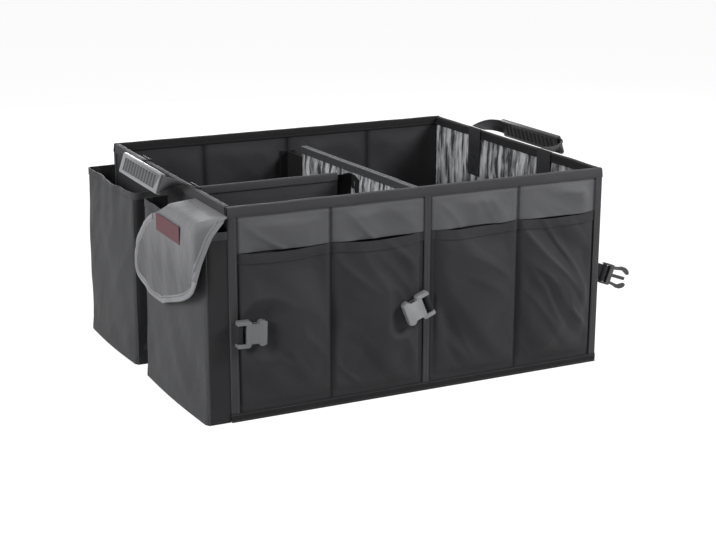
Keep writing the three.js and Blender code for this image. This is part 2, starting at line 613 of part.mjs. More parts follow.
// The plug: a frame, two prongs that splay from it, and the guide tongue between them
function maleBuckle() {
  const w = BUCKLE_W / 2 - 2;
  const t = FRAME_T / 2;
  const root = 15;
  const frame = alongY(roundedRect(-BAR_BACK, root + 1, -w + 1, w - 1, 3), -t, t);
  const prong = (side) => {
    const s = new THREE.Shape();
    s.moveTo(root, side * 9);
    s.lineTo(34, side * 11.5);
    s.lineTo(44, side * 6.5);
    s.lineTo(47, side * 8.5);
    s.quadraticCurveTo(47, side * 14, 37, side * w);
    s.lineTo(31, side * w);
    s.quadraticCurveTo(30, side * (w - 1.5), root, side * (w - 3.5));
    s.closePath();
    return alongY(s, -PRONG_T / 2, PRONG_T / 2);
  };
  const guide = roundedRect(root, 42, -2.6, 2.6, 1.5);
  const tongue = alongY(guide, -TONGUE_T / 2, TONGUE_T / 2);
  return join(cut(frame, webbingSlot(-t, t)), prong(1), prong(-1), tongue);
}

// Webbing tab: a loop round the bar and a tail to the seam it is sewn in
function buckleTab(tailX, tailY) {
  const inner = BAR * Math.SQRT2 + 0.4;
  const ring = new THREE.Shape();
  ring.absarc(0, 0, inner + WEB_THICK, 0, 2 * Math.PI, false);
  const hole = new THREE.Path();
  hole.absarc(0, 0, inner, 0, 2 * Math.PI, true);
  ring.holes.push(hole);
  const plan = (shape) => slab(shape, WEB).translate(0, 0, -WEB / 2);
  const start = -inner - 0.2;
  const tail = outline([[start, -1.4], [start, 1.4], [tailX + 2.5, tailY], [tailX, tailY],
    [tailX, tailY - 2.4]]);
  return join(plan(ring), plan(tail));
}

// Each buckle's bar position, how far its free end droops, the way its mouth points, and the tail
// of its tab. out is from the front of the box, or from its right end, to the bar
const BUCKLES = [
  { end: 'left', female: true, x: -LENGTH / 2 + 10, out: 9, z: 130, droop: 2, mouth: 1 },
  { end: 'centre', female: true, x: SEAM_X - 4, out: 9.5, z: 137, droop: 22, mouth: -1 },
  { end: 'right', female: false, y: -WIDTH / 2 + 6, out: 12, z: 139, droop: 20, mouth: 1 },
];

function buckles() {
  const face = WIDTH / 2 + GAP;
  const end = LENGTH / 2 + GAP;
  const walls = [box(-end, end, -face, face, 0, HEIGHT)];
  for (const { end: name, female, x, y, out, z, droop, mouth } of BUCKLES) {
    const bar = female ? [x, -WIDTH / 2 - out, z] : [LENGTH / 2 + out, y, z];
    const tail = female ? [-7, out + LAYER] : [-out - 7, 0.6];
    const place = (geometry) => {
      if (mouth < 0) geometry.rotateX(Math.PI);
      geometry.rotateY(rad(droop));
      if (mouth < 0) geometry.rotateZ(Math.PI);
      return geometry.translate(...bar);
    };
    const kind = female ? 'female' : 'male';
    const finish = female ? FINISH.buckle : FINISH.blackBuckle;
    add(`${kind}_buckle_${name}`, place(female ? femaleBuckle() : maleBuckle()), finish);
    add(`buckle_tab_${name}`, cut(place(buckleTab(...tail)), walls), FINISH.webbing);
  }
}

// Dividers: a board in a sewn sleeve with tape over the top edge
function dividers() {
  const [y0, y1] = [INNER_FRONT, INNER_BACK - DIVIDER_FLANGE];
  const slope = (DIVIDER_BACK_Z - DIVIDER_FRONT_Z) / (y1 - y0);
  const top = (y) => DIVIDER_FRONT_Z + slope * (y - y0);
  const side = (a, b, drop, foot) =>
    outline([[a, foot], [b, foot], [b, top(b) - drop], [a, top(a) - drop]]);
  const [x0, x1] = [SEAM_X - WALL / 2, SEAM_X + WALL / 2];
  const inset = CLOTH + GAP;
  const sleeve = alongX(side(y0, y1, CAP_WEB, WALL_FOOT), x0, x1);
  const mouth = -2 * LAYER; // the sleeve is open at the top
  const within = side(y0 + CLOTH, y1 - CLOTH, mouth, WALL_FOOT + CLOTH);
  const cell = alongX(within, x0 + CLOTH, x1 - CLOTH);
  const strip = FLANGE.thick / 2;
  const soft = box(SEAM_X - strip, SEAM_X + strip, y1 - CLOTH / 2, INNER_BACK, FLANGE.foot,
    DIVIDER_BACK_Z - FLANGE.drop);
  add('centre_divider_cover', join(cut(sleeve, [cell]), soft), FINISH.divider);
  const plan = side(y0 + inset, y1 - inset, CAP_WEB + GAP, WALL_FOOT + inset);
  add('centre_divider_stiffener', alongX(plan, x0 + inset, x1 - inset), FINISH.board);
  const low = DIVIDER_BACK_Z - 3 * TAPE;
  const cap = alongX(side(y0, y1, 0, low + 1), x0 - LAYER, x1 + LAYER);
  const slot = alongX(side(y0 - 1, y1 + 1, CAP_WEB - GAP, low), x0 - GAP, x1 + GAP);
  const below = alongX(side(y0 - 1, y1 + 1, TAPE, low), x0 - WALL, x1 + WALL);
  add('centre_divider_binding', cut(cap, [slot, below]), FINISH.binding);

  const [c0, c1] = [CROSS_Y - WALL / 2, CROSS_Y + WALL / 2];
  const [a, b] = [-INNER_X + GAP, CROSS_END];
  const foot = WALL_FOOT + BOARD + GAP;
  const crest = CROSS_Z - CAP_WEB;
  const crossCell = box(a + CLOTH, b - CLOTH, c0 + CLOTH, c1 - CLOTH, foot + CLOTH, HEIGHT);
  add('cross_divider_cover', cut(box(a, b, c0, c1, foot, crest), [crossCell]), FINISH.divider);
  const crossBoard = box(a + inset, b - inset, c0 + inset, c1 - inset, foot + inset, crest - GAP);
  add('cross_divider_stiffener', crossBoard, FINISH.board);
  const web = box(a, b, c0 - LAYER, c1 + LAYER, crest + GAP, CROSS_Z);
  const legs = [box(a, b, c0 - LAYER, c0 - GAP, CROSS_Z - TAPE, CROSS_Z),
    box(a, b, c1 + GAP, c1 + LAYER, CROSS_Z - TAPE, CROSS_Z)];
  add('cross_divider_binding', join(web, ...legs), FINISH.binding);
  const [grip, back] = [x0 - GAP, x0 - GAP - FLANGE.thick];
  const half = FLANGE.thick / 2;
  const tongue = outline([[b + GAP, CROSS_Y - half], [back, CROSS_Y - half],
    [back, CROSS_Y - FLANGE.half], [grip, CROSS_Y - FLANGE.half], [grip, CROSS_Y + FLANGE.half],
    [back, CROSS_Y + FLANGE.half], [back, CROSS_Y + half], [b + GAP, CROSS_Y + half]]);
  const flange = alongZ(tongue, FLANGE.foot, CROSS_Z - FLANGE.drop);
  add('cross_divider_hook_flange', flange, FINISH.hook);
}

base();
walls();
bindings();
frontFace();
endPocket('left_pocket_front', FRONT_POCKET);
endPocket('left_pocket_back', BACK_POCKET);
dividers();
handle('left', -1, FINISH.grip);
handle('right', 1, FINISH.darkGrip);
flap();
buckles();

export default organizer;
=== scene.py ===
# Looks of a collapsible fabric trunk organizer: sewn cloth panels, pockets and flap, woven tapes,
# strap handles with moulded grips, and side-release buckles. Lengths are in metres.
import math

import bmesh
import bpy
import numpy as np
from mathutils import Euler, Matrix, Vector, noise


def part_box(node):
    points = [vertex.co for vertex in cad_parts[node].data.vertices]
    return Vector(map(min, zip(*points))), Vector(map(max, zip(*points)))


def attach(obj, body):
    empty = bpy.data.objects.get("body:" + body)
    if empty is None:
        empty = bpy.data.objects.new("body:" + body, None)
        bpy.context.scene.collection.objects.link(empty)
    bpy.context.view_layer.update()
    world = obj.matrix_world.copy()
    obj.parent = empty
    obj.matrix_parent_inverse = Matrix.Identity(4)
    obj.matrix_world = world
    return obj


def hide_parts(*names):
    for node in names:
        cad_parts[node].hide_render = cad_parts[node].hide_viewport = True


MM = 0.001
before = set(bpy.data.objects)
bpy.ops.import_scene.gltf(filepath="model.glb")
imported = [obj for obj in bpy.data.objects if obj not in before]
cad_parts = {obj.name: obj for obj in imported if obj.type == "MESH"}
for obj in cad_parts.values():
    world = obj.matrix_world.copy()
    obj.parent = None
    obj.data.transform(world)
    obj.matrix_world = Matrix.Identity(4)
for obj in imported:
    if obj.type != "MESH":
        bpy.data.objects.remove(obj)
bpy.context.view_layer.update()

# Body names
ROOT = "organizer_body"
FLAP = "flap"

# Places that the solids give
FRONT_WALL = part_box("front_wall_cover")
BACK_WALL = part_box("back_wall_cover")
LEFT_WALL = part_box("left_wall_cover")
RIGHT_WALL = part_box("right_wall_cover")
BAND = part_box("front_upper_band")
MIDDLE_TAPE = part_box("front_centre_binding")
SEAM_X = (MIDDLE_TAPE[0].x + MIDDLE_TAPE[1].x) / 2
BAY = 151 * MM  # from the middle seam to the seams either side of it
END_SEAM_Y = 4 * MM
CLOTH = 1.2 * MM
GAP = 0.3 * MM
X, Y, Z = Vector((1, 0, 0)), Vector((0, 1, 0)), Vector((0, 0, 1))
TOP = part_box("rim_binding_front")[1].z
RIM_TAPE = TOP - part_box("rim_binding_front")[0].z


# Number and mesh helpers
def between(a, b, share):
    return a + (b - a) * share


def clamp(share):
    return min(1.0, max(0.0, share))


def smoothstep(x, low, high):
    t = clamp((x - low) / (high - low))
    return t * t * (3 - 2 * t)


def ripple(a, b, seed):
    """Smooth noise, about -0.6 to 0.6, at place (a, b)."""
    return noise.noise(Vector((a, b, seed)))


def bead(half_wide, half_high, corners):
    """The round section of a cord or a raised seam."""
    turns = [2 * math.pi * k / corners for k in range(corners)]
    return [(half_wide * math.cos(a), half_high * math.sin(a)) for a in turns]


class Run:
    """A box that runs along x or y: its ends, its two faces, and a place on it."""

    def __init__(self, low, high, along_x):
        self.along_x = along_x
        self.a0, self.a1 = (low.x, high.x) if along_x else (low.y, high.y)
        self.t0, self.t1 = (low.y, high.y) if along_x else (low.x, high.x)
        self.side = Y if along_x else X

    def at(self, a, t, z):
        return (a, t, z) if self.along_x else (t, a, z)


def grid(surface, nu, nv):
    """Points of surface(u, v) as an array of nv + 1 rows of nu + 1."""
    rows = [[surface(i / nu, j / nv) for i in range(nu + 1)] for j in range(nv + 1)]
    return np.array(rows, float)


def normals(points):
    du = np.gradient(points, axis=1)
    dv = np.gradient(points, axis=0)
    n = np.cross(du, dv)
    length = np.linalg.norm(n, axis=2, keepdims=True)
    return n / np.maximum(length, 1e-12)


def two_skins(outer, inner, number=0):
    """The closed sheet between two grids."""
    rows, cols = outer.shape[:2]
    verts = np.concatenate([outer.reshape(-1, 3), inner.reshape(-1, 3)])
    layer = rows * cols

    def at(side, i, j):
        return side * layer + j * cols + i

    faces = []
    for j in range(rows - 1):
        for i in range(cols - 1):
            faces.append((at(0, i, j), at(0, i + 1, j), at(0, i + 1, j + 1), at(0, i, j + 1)))
            faces.append((at(1, i, j), at(1, i, j + 1), at(1, i + 1, j + 1), at(1, i + 1, j)))
    top, end = rows - 1, cols - 1
    for i in range(cols - 1):
        faces.append((at(0, i, 0), at(1, i, 0), at(1, i + 1, 0), at(0, i + 1, 0)))
        faces.append((at(0, i, top), at(0, i + 1, top), at(1, i + 1, top), at(1, i, top)))
    for j in range(rows - 1):
        faces.append((at(0, 0, j), at(0, 0, j + 1), at(1, 0, j + 1), at(1, 0, j)))
        faces.append((at(0, end, j), at(1, end, j), at(1, end, j + 1), at(0, end, j + 1)))
    return verts, faces, [number] * len(faces)


def build(name, parts, materials, body, nodes):
    """One object of (verts, faces, material numbers) parts, riding on body in place of nodes."""
    verts, faces, numbers = [], [], []
    for part_verts, part_faces, part_numbers in parts:
        start = len(verts)
        verts += [tuple(v) for v in part_verts]
        faces += [tuple(start + k for k in f) for f in part_faces]
        numbers += list(part_numbers)
    mesh = bpy.data.meshes.new(name)
    mesh.from_pydata(verts, [], faces)
    for material in materials:
        mesh.materials.append(material)
    mesh.polygons.foreach_set("material_index", numbers)
    mesh.polygons.foreach_set("use_smooth", [True] * len(faces))
    bm = bmesh.new()
    bm.from_mesh(mesh)
    bmesh.ops.recalc_face_normals(bm, faces=bm.faces)
    bm.to_mesh(mesh)
    bm.free()
    mesh.update()
    piece = bpy.data.objects.new(name, mesh)
    bpy.context.collection.objects.link(piece)
    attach(piece, body)
    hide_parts(*nodes)
    sharpen(piece)
    return piece


def sharpen(piece, angle=40):
    """Marks edges steeper than angle sharp, so that smooth shading stops there."""
    bm = bmesh.new()
    bm.from_mesh(piece.data)
    limit = math.radians(angle)
    for edge in bm.edges:
        if len(edge.link_faces) == 2 and edge.calc_face_angle(0) > limit:
            edge.smooth = False
    bm.to_mesh(piece.data)
    bm.free()


def skins(mid, thick, number=0):
    """A closed sheet of one thickness round a mid surface."""
    n = normals(mid)
    return two_skins(mid + n * thick / 2, mid - n * thick / 2, number)


def tube(rings, number=0):
    """A closed body through rings that all have the same number of points."""
    n, last = len(rings[0]), len(rings) - 1
    faces = []
    for k in range(last):
        for i in range(n):
            j = (i + 1) % n
            faces.append((k * n + i, k * n + j, (k + 1) * n + j, (k + 1) * n + i))
    faces.append(tuple(reversed(range(n))))
    faces.append(tuple(last * n + i for i in range(n)))
    return [p for ring in rings for p in ring], faces, [number] * len(faces)


def sweep(path, profile, number=0):
    """A closed loop of (across, up) points carried along path, a list of (centre, side, rise)."""
    rings = [[centre + side * a + rise * b for a, b in profile] for centre, side, rise in path]
    return tube(rings, number)


STITCH_FACES = [(1, 0, 8), (2, 1, 8), (3, 2, 8), (4, 3, 8), (5, 4, 8), (0, 5, 8), (0, 1, 6),
                (1, 2, 7, 6), (2, 3, 7), (3, 4, 7), (4, 5, 6, 7), (5, 0, 6)]


def stitches(points, normal, pitch=3.6 * MM, length=2.5 * MM, width=0.42 * MM, number=1):
    """Short raised stitches along a line of points, lying on the surface that normal leaves."""
    verts, faces = [], []
    run = 0.0
    for a, b in zip(points, points[1:]):
        step = b - a
        span = step.length
        if span < 1e-9:
            continue
        along = step / span
        place = (math.ceil(run / pitch) * pitch) - run
        out = normal(a) if callable(normal) else normal
        side = along.cross(out).normalized() * width
        half, waist = along * (length / 2), along * (length * 0.3)
        rise, root = out * width * 0.9, out * width * 0.3
        edge = rise * 0.2
        while place < span:
            c = a + along * place
            faces += [tuple(len(verts) + k for k in ring) for ring in STITCH_FACES]
            verts += [c - half - root, c - waist + side + edge, c + waist + side + edge,
                      c + half - root, c + waist - side + edge, c - waist - side + edge,
                      c - waist + rise, c + waist + rise, c - out * width]
            place += pitch
        run += span
    return verts, faces, [number] * len(faces)


def fold(a, b, seed, wide=0.11, fine=0.03):
    """Soft waves and diagonal creases of cloth, about -1 to 1, at place (a, b) on a panel."""
    broad = ripple(a / wide, b / wide, seed)
    slant = ripple((a + b) / wide * 1.9, (a - b) / wide * 0.5, seed + 7)
    crease = 1 - 2 * abs(ripple((a - 0.6 * b) / fine / 2, (a + b) / fine / 7, seed + 13))
    return 0.5 * broad + 0.35 * slant + 0.18 * max(0.0, crease - 0.55)


def drape(a, b, seed):
    """Broad slack folds that run slantwise over a panel, about -1 to 1."""
    warp = 0.03 * ripple(a / 0.12, b / 0.12, seed + 1)
    rising = ripple((a + 0.8 * b + warp) / 0.052, (0.8 * a - b) / 0.2, seed)
    falling = ripple((a - 0.7 * b + warp) / 0.058, (0.7 * a + b) / 0.2, seed + 5)
    broad = ripple(a / 0.1, b / 0.13, seed + 9)
    crease = 1 - 3 * abs(ripple((a + 0.9 * b + warp) / 0.045, (a - b) / 0.3, seed + 13))
    return 0.5 * rising + 0.4 * falling + 0.45 * broad + 0.15 * max(0.0, crease)


def crinkle(a, b, seed):
    """Upright crumples of the thin coated lining."""
    tall = ripple(a / 0.011, b / 0.045, seed)
    ridge = 1 - 2 * abs(ripple(a / 0.017, b / 0.06, seed + 3))
    small = ripple(a / 0.006, b / 0.014, seed + 5)
    return 0.55 * tall + 0.35 * ridge + 0.2 * small


# Materials
class Tree:
    """Adds and links the nodes of one shader tree."""

    def __init__(self, tree):
        self.tree = tree

    def add(self, kind, **values):
        node = self.tree.nodes.new("ShaderNode" + kind)
        for key, value in values.items():
            if key in node.inputs:
                node.inputs[key].default_value = value
            else:
                setattr(node, key, value)
        return node

    def link(self, a, b):
        self.tree.links.new(a, b)

    def calc(self, operation, *values):
        node = self.add("Math", operation=operation)
        for k, value in enumerate(values):
            if hasattr(value, "is_linked"):
                self.link(value, node.inputs[k])
            else:
                node.inputs[k].default_value = value
        return node.outputs[0]


class Material(Tree):
    """The nodes of one new material."""

    def __init__(self, name):
        self.material = bpy.data.materials.new(name)
        self.material.use_nodes = True
        super().__init__(self.material.node_tree)
        self.tree.nodes.clear()
        self.coords = self.add("TexCoord").outputs["Object"]
        self.shader = self.add("BsdfPrincipled")
        out = self.add("OutputMaterial")
        self.link(self.shader.outputs[0], out.inputs[0])

    def noise(self, scale, detail=2.0, stretch=(1, 1, 1), rough=0.5):
        mapping = self.add("Mapping")
        mapping.inputs["Scale"].default_value = stretch
        self.link(self.coords, mapping.inputs["Vector"])
        node = self.add("TexNoise", Scale=scale, Detail=detail, Roughness=rough)
        self.link(mapping.outputs[0], node.inputs["Vector"])
        return node.outputs["Fac"]

    def split(self):
        node = self.add("SeparateXYZ")
        self.link(self.coords, node.inputs[0])
        return node.outputs

    def weave(self, pitch):
        """Height of a plain weave on upright and level panels, 0 to 1."""
        x, y, z = self.split()
        a = self.calc("ADD", x, y)
        b = self.calc("ADD", z, self.calc("MULTIPLY", self.calc("SUBTRACT", x, y), 0.37))
        turn = 2 * math.pi / pitch
        wave_a = self.calc("SINE", self.calc("MULTIPLY", a, turn))
        wave_b = self.calc("SINE", self.calc("MULTIPLY", b, turn))
        return self.calc("MULTIPLY_ADD", self.calc("MULTIPLY", wave_a, wave_b), 0.5, 0.5)

    def groove_shade(self, places, width):
        """The mask of painted shade: 1 along the upright seams at the given places in x, falling to
        0 beside them.
        """
        at = self.split()[0]
        total = None
        for place in places:
            away = self.calc("DIVIDE", self.calc("SUBTRACT", at, place), width)
            squared = self.calc("MULTIPLY", away, away)
            line = self.calc("EXPONENT", self.calc("MULTIPLY", squared, -1))
            total = line if total is None else self.calc("MAXIMUM", total, line)
        return total

    def colour(self, factor, low, high, under=None):
        """Base colour from low to high by factor, or from the colour under to high."""
        node = self.add("Mix", data_type="RGBA")
        self.link(factor, node.inputs["Factor"])
        if under:
            self.link(under, node.inputs[6])
        else:
            node.inputs[6].default_value = (*low, 1)
        node.inputs[7].default_value = (*high, 1)
        self.link(node.outputs[2], self.shader.inputs["Base Color"])
        return node.outputs[2]

    def ramp(self, value, **limits):
        """value stretched between the limits, which are inputs of the Map Range node."""
        node = self.add("MapRange", **{key.replace("_", " "): at for key, at in limits.items()})
        self.link(value, node.inputs["Value"])
        return node.outputs[0]

    def rough(self, factor, low, high):
        self.link(self.ramp(factor, To_Min=low, To_Max=high), self.shader.inputs["Roughness"])

    def bump(self, layers):
        """Chains bumps from (height, strength, distance) layers."""
        previous = None
        for height, strength, distance in layers:
            node = self.add("Bump", Strength=strength, Distance=distance)
            self.link(height, node.inputs["Height"])
            if previous is not None:
                self.link(previous, node.inputs["Normal"])
            previous = node.outputs[0]
        self.link(previous, self.shader.inputs["Normal"])

    def finish(self, sheen=0.0, specular=0.5, coat=0.0):
        self.shader.inputs["Sheen Weight"].default_value = sheen
        self.shader.inputs["Specular IOR Level"].default_value = specular
        self.shader.inputs["Coat Weight"].default_value = coat
        return self.material


def shade(colour, factor):
    return tuple(c * factor for c in colour)


def cloth(name, colour, pitch=0.9 * MM, rough=(0.6, 0.8), crumple=0.3, seams=(), width=3 * MM):
    """Coated woven cloth: weave, slow tone changes, rubbed patches, crumples, and painted shade
    along the seams.
    """
    n = Material(name)
    weave = n.weave(pitch)
    tone = n.noise(9, 4, rough=0.6)
    fine = n.noise(420, 2)
    mixed = n.calc("ADD", n.calc("MULTIPLY", tone, 0.7), n.calc("MULTIPLY", weave, 0.3))
    mix = n.colour(mixed, shade(colour, 0.84), shade(colour, 1.16))
    # Painted shade: the colour darkens along the seams and tape edges, as if their hollows were in
    # shadow.
    if seams:
        n.colour(n.calc("MULTIPLY", n.groove_shade(seams, width), 0.9), None, shade(colour, 0.2), mix)
    n.rough(tone, *rough)
    crumples = n.noise(38, 4, (1, 1, 0.6))
    n.bump([(crumples, crumple, 2.2 * MM), (weave, 0.35, 0.16 * MM), (fine, 0.2, 0.12 * MM)])
    return n.finish(0.02, 0.08)


def lining(name, colour):
    """Thin glossy lining that crumples upright, with painted shade in its creases and a painted
    highlight along each crest.
    """
    n = Material(name)
    weave = n.weave(0.7 * MM)
    tall = n.noise(84, 4, (1, 1, 0.17), 0.6)
    fine = n.noise(190, 3, (1, 1, 0.25))
    # Painted highlight and shade: the colour runs from dark in the creases to pale on the crests of
    # the crumples.
    ridge_highlights = n.ramp(n.calc("MULTIPLY_ADD", fine, 0.3, tall), From_Min=0.56, From_Max=0.76)
    n.colour(ridge_highlights, shade(colour, 0.25), shade(colour, 3.8))
    n.rough(tall, 0.2, 0.4)
    n.bump([(tall, 0.8, 5 * MM), (weave, 0.2, 0.1 * MM)])
    return n.finish(0.05, 0.8, 0.15)


def flap_cloth(name, colour):
    """Paler coated cloth that hangs in upright creases, with painted light towards its top, where
    it turns over, and painted shade and highlight along its creases.
    """
    n = Material(name)
    weave = n.weave(0.9 * MM)
    streak = n.noise(42, 4, (1, 1, 0.22), 0.62)
    fine = n.noise(420, 2)
    # Painted light: brighter towards the top, where the cloth turns over to face the lamps; the
    # streaks that follow the creases add painted shade and highlight.
    height = n.ramp(n.split()[2], From_Min=0.2, From_Max=0.29)
    level = n.calc("MULTIPLY_ADD", height, 0.5, n.calc("MULTIPLY", streak, 0.5))
    n.colour(n.calc("MULTIPLY_ADD", weave, 0.08, level), shade(colour, 0.5), shade(colour, 2.0))
    n.rough(streak, 0.42, 0.62)
    n.bump([(streak, 0.6, 3.5 * MM), (weave, 0.35, 0.16 * MM), (fine, 0.2, 0.12 * MM)])
    return n.finish(0.02, 0.12)


def woven_tape(name, colour, rough=0.7):
    """Ribbed binding tape, seen as fine ribs across its run."""
    n = Material(name)
    x, y, z = n.split()
    run = n.calc("ADD", n.calc("ADD", x, y), z)
    ribs = n.calc("SINE", n.calc("MULTIPLY", run, 2 * math.pi / (1.1 * MM)))
    fine = n.noise(300, 2)
    tone = n.noise(14, 3)
    mixed = n.calc("MULTIPLY_ADD", ribs, 0.12, tone)
    n.colour(mixed, shade(colour, 0.78), shade(colour, 1.25))
    n.rough(tone, rough - 0.08, rough + 0.1)
    n.bump([(n.calc("MULTIPLY_ADD", ribs, 0.5, 0.5), 0.35, 0.18 * MM), (fine, 0.25, 0.12 * MM)])
    return n.finish(0.02, 0.08)


def plastic(name, colour, rough=(0.28, 0.4), grain=0.12, scale=700):
    """Moulded plastic with a fine spark grain, faint rubbing, and a painted highlight on its sharp
    edges.
    """
    n = Material(name)
    tone = n.noise(30, 3)
    fine = n.noise(scale, 3)
    mix = n.colour(tone, shade(colour, 0.88), shade(colour, 1.12))
    # Painted highlight: the colour grows paler on sharp edges, where the glossy plastic would catch
    # the light.
    edges = n.ramp(n.add("NewGeometry").outputs["Pointiness"], From_Min=0.52, From_Max=0.6)
    edge_glint = n.calc("MULTIPLY", edges, n.calc("MULTIPLY_ADD", tone, 0.8, 0.1))
    n.colour(edge_glint, None, shade(colour, 1.9), mix)
    n.rough(tone, *rough)
    n.bump([(fine, grain, 0.1 * MM), (n.noise(60, 2), 0.08, 0.3 * MM)])
    return n.finish(0.0, 0.5)


def board(name, colour):
    n = Material(name)
    x, y, _ = n.split()
    flutes = n.calc("SINE", n.calc("MULTIPLY", n.calc("ADD", x, y), 2 * math.pi / (4 * MM)))
    tone = n.noise(25, 3)
    n.colour(tone, shade(colour, 0.85), shade(colour, 1.15))
    n.rough(tone, 0.5, 0.7)
    n.bump([(n.calc("MULTIPLY_ADD", flutes, 0.5, 0.5), 0.4, 0.3 * MM)])
    return n.finish(0.0, 0.4)


LONG_SEAMS = [SEAM_X - BAY, SEAM_X, SEAM_X + BAY]
TAPE_EDGES = [FRONT_WALL[0].x + 12 * MM, MIDDLE_TAPE[0].x, MIDDLE_TAPE[1].x,
              FRONT_WALL[1].x - 12 * MM]

SHELL = cloth("shell_cloth", (0.018, 0.018, 0.0195))
# The front cloths carry painted shade along their seams and tape edges.
FRONT_LINES = {"seams": LONG_SEAMS + TAPE_EDGES, "width": 2.6 * MM}
POCKET = cloth("front_pocket_cloth", (0.0175, 0.0175, 0.0188), rough=(0.5, 0.72), **FRONT_LINES)
BAND_CLOTH = cloth("upper_band_cloth", (0.054, 0.0545, 0.057), rough=(0.5, 0.7), **FRONT_LINES)
# Painted light and shade: the end pockets' cloth is a paler, lit copy of the front pocket cloth,
# and their gusset sides and foot a darker, shaded copy.
LIT_END_CLOTH = cloth("end_pocket_cloth", (0.0275, 0.0278, 0.0292), rough=(0.5, 0.7), crumple=0.5)
SHADED_GUSSET = cloth("end_pocket_gusset", (0.014, 0.014, 0.015), rough=(0.55, 0.75), crumple=0.35)
FLAP_CLOTH = flap_cloth("flap_cloth", (0.056, 0.0565, 0.059))
# Painted light: this lining, on the faces turned to the key lamp, is a much paler, lit copy of the
# darker lining on the other inner faces.
LIT_LINING = lining("lining_cloth", (0.090, 0.091, 0.095))
DULL_LINING = cloth("dull_lining", (0.018, 0.018, 0.0195), rough=(0.5, 0.7), crumple=0.4)
# The back lining carries painted shade along its seams.
BACK_LINING = cloth("back_wall_lining", (0.0185, 0.0185, 0.020), rough=(0.45, 0.65), crumple=0.4,
                    seams=LONG_SEAMS, width=5 * MM)
DIVIDER_CLOTH = cloth("divider_cloth", (0.030, 0.030, 0.032), rough=(0.5, 0.7), crumple=0.4)
BASE_CLOTH = cloth("base_panel_cloth", (0.020, 0.020, 0.022))
TAPE = woven_tape("binding_tape", (0.026, 0.026, 0.0275))
DARK_TAPE = woven_tape("dark_binding_tape", (0.006, 0.006, 0.0066))
FOOT_TAPE = woven_tape("foot_tape", (0.009, 0.009, 0.0097))
DIVIDER_TAPE = woven_tape("divider_tape", (0.022, 0.022, 0.024))
RIDGE = woven_tape("divider_piping", (0.085, 0.086, 0.090))
FLAP_TAPE = woven_tape("flap_tape", (0.125, 0.126, 0.131))
WEBBING = woven_tape("webbing", (0.010, 0.010, 0.011), rough=0.62)
# Painted light: the left handle's black webbing, lit by the key lamp, is a paler copy of the
# webbing.
LIT_WEBBING = woven_tape("left_webbing", (0.035, 0.035, 0.037), rough=0.62)
HOOK = cloth("hook_strip", (0.004, 0.004, 0.004), pitch=1.6 * MM, rough=(0.8, 0.95))
LABEL = cloth("label_cloth", (0.064, 0.027, 0.031), pitch=0.7 * MM, rough=(0.6, 0.75), crumple=0.1)
THREAD = woven_tape("thread", (0.048, 0.048, 0.051))
DARK_THREAD = woven_tape("dark_thread", (0.026, 0.026, 0.028))
# Painted reflection: the two female buckles are glossy black plastic coloured grey for their sheen,
# the centre one paler still.
SHEEN_BUCKLE = plastic("female_buckle_plastic", (0.064, 0.065, 0.068), (0.3, 0.42))
BRIGHT_SHEEN_BUCKLE = plastic("bright_sheen_buckle_plastic", (0.098, 0.099, 0.103), (0.3, 0.42))
BLACK_BUCKLE = plastic("male_buckle_plastic", (0.008, 0.008, 0.009), (0.25, 0.38))
# Painted light: the left grip is a paler, lit copy of the right grip's black rubber, and its rim is
# paler still as a painted highlight.
LIT_GRIP_RIM = plastic("left_grip_rim", (0.105, 0.106, 0.111), (0.4, 0.55))
LIT_GRIP_CORE = plastic("left_grip_core", (0.034, 0.035, 0.037), (0.45, 0.6), 0.4, 420)
DARK_GRIP = plastic("right_grip_rubber", (0.010, 0.010, 0.011), (0.4, 0.55), 0.3, 500)
BOARD = board("stiffener_board", (0.12, 0.12, 0.125))


def boards_of(start):
    return [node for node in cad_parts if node.startswith(start) and "stiffener" in node]


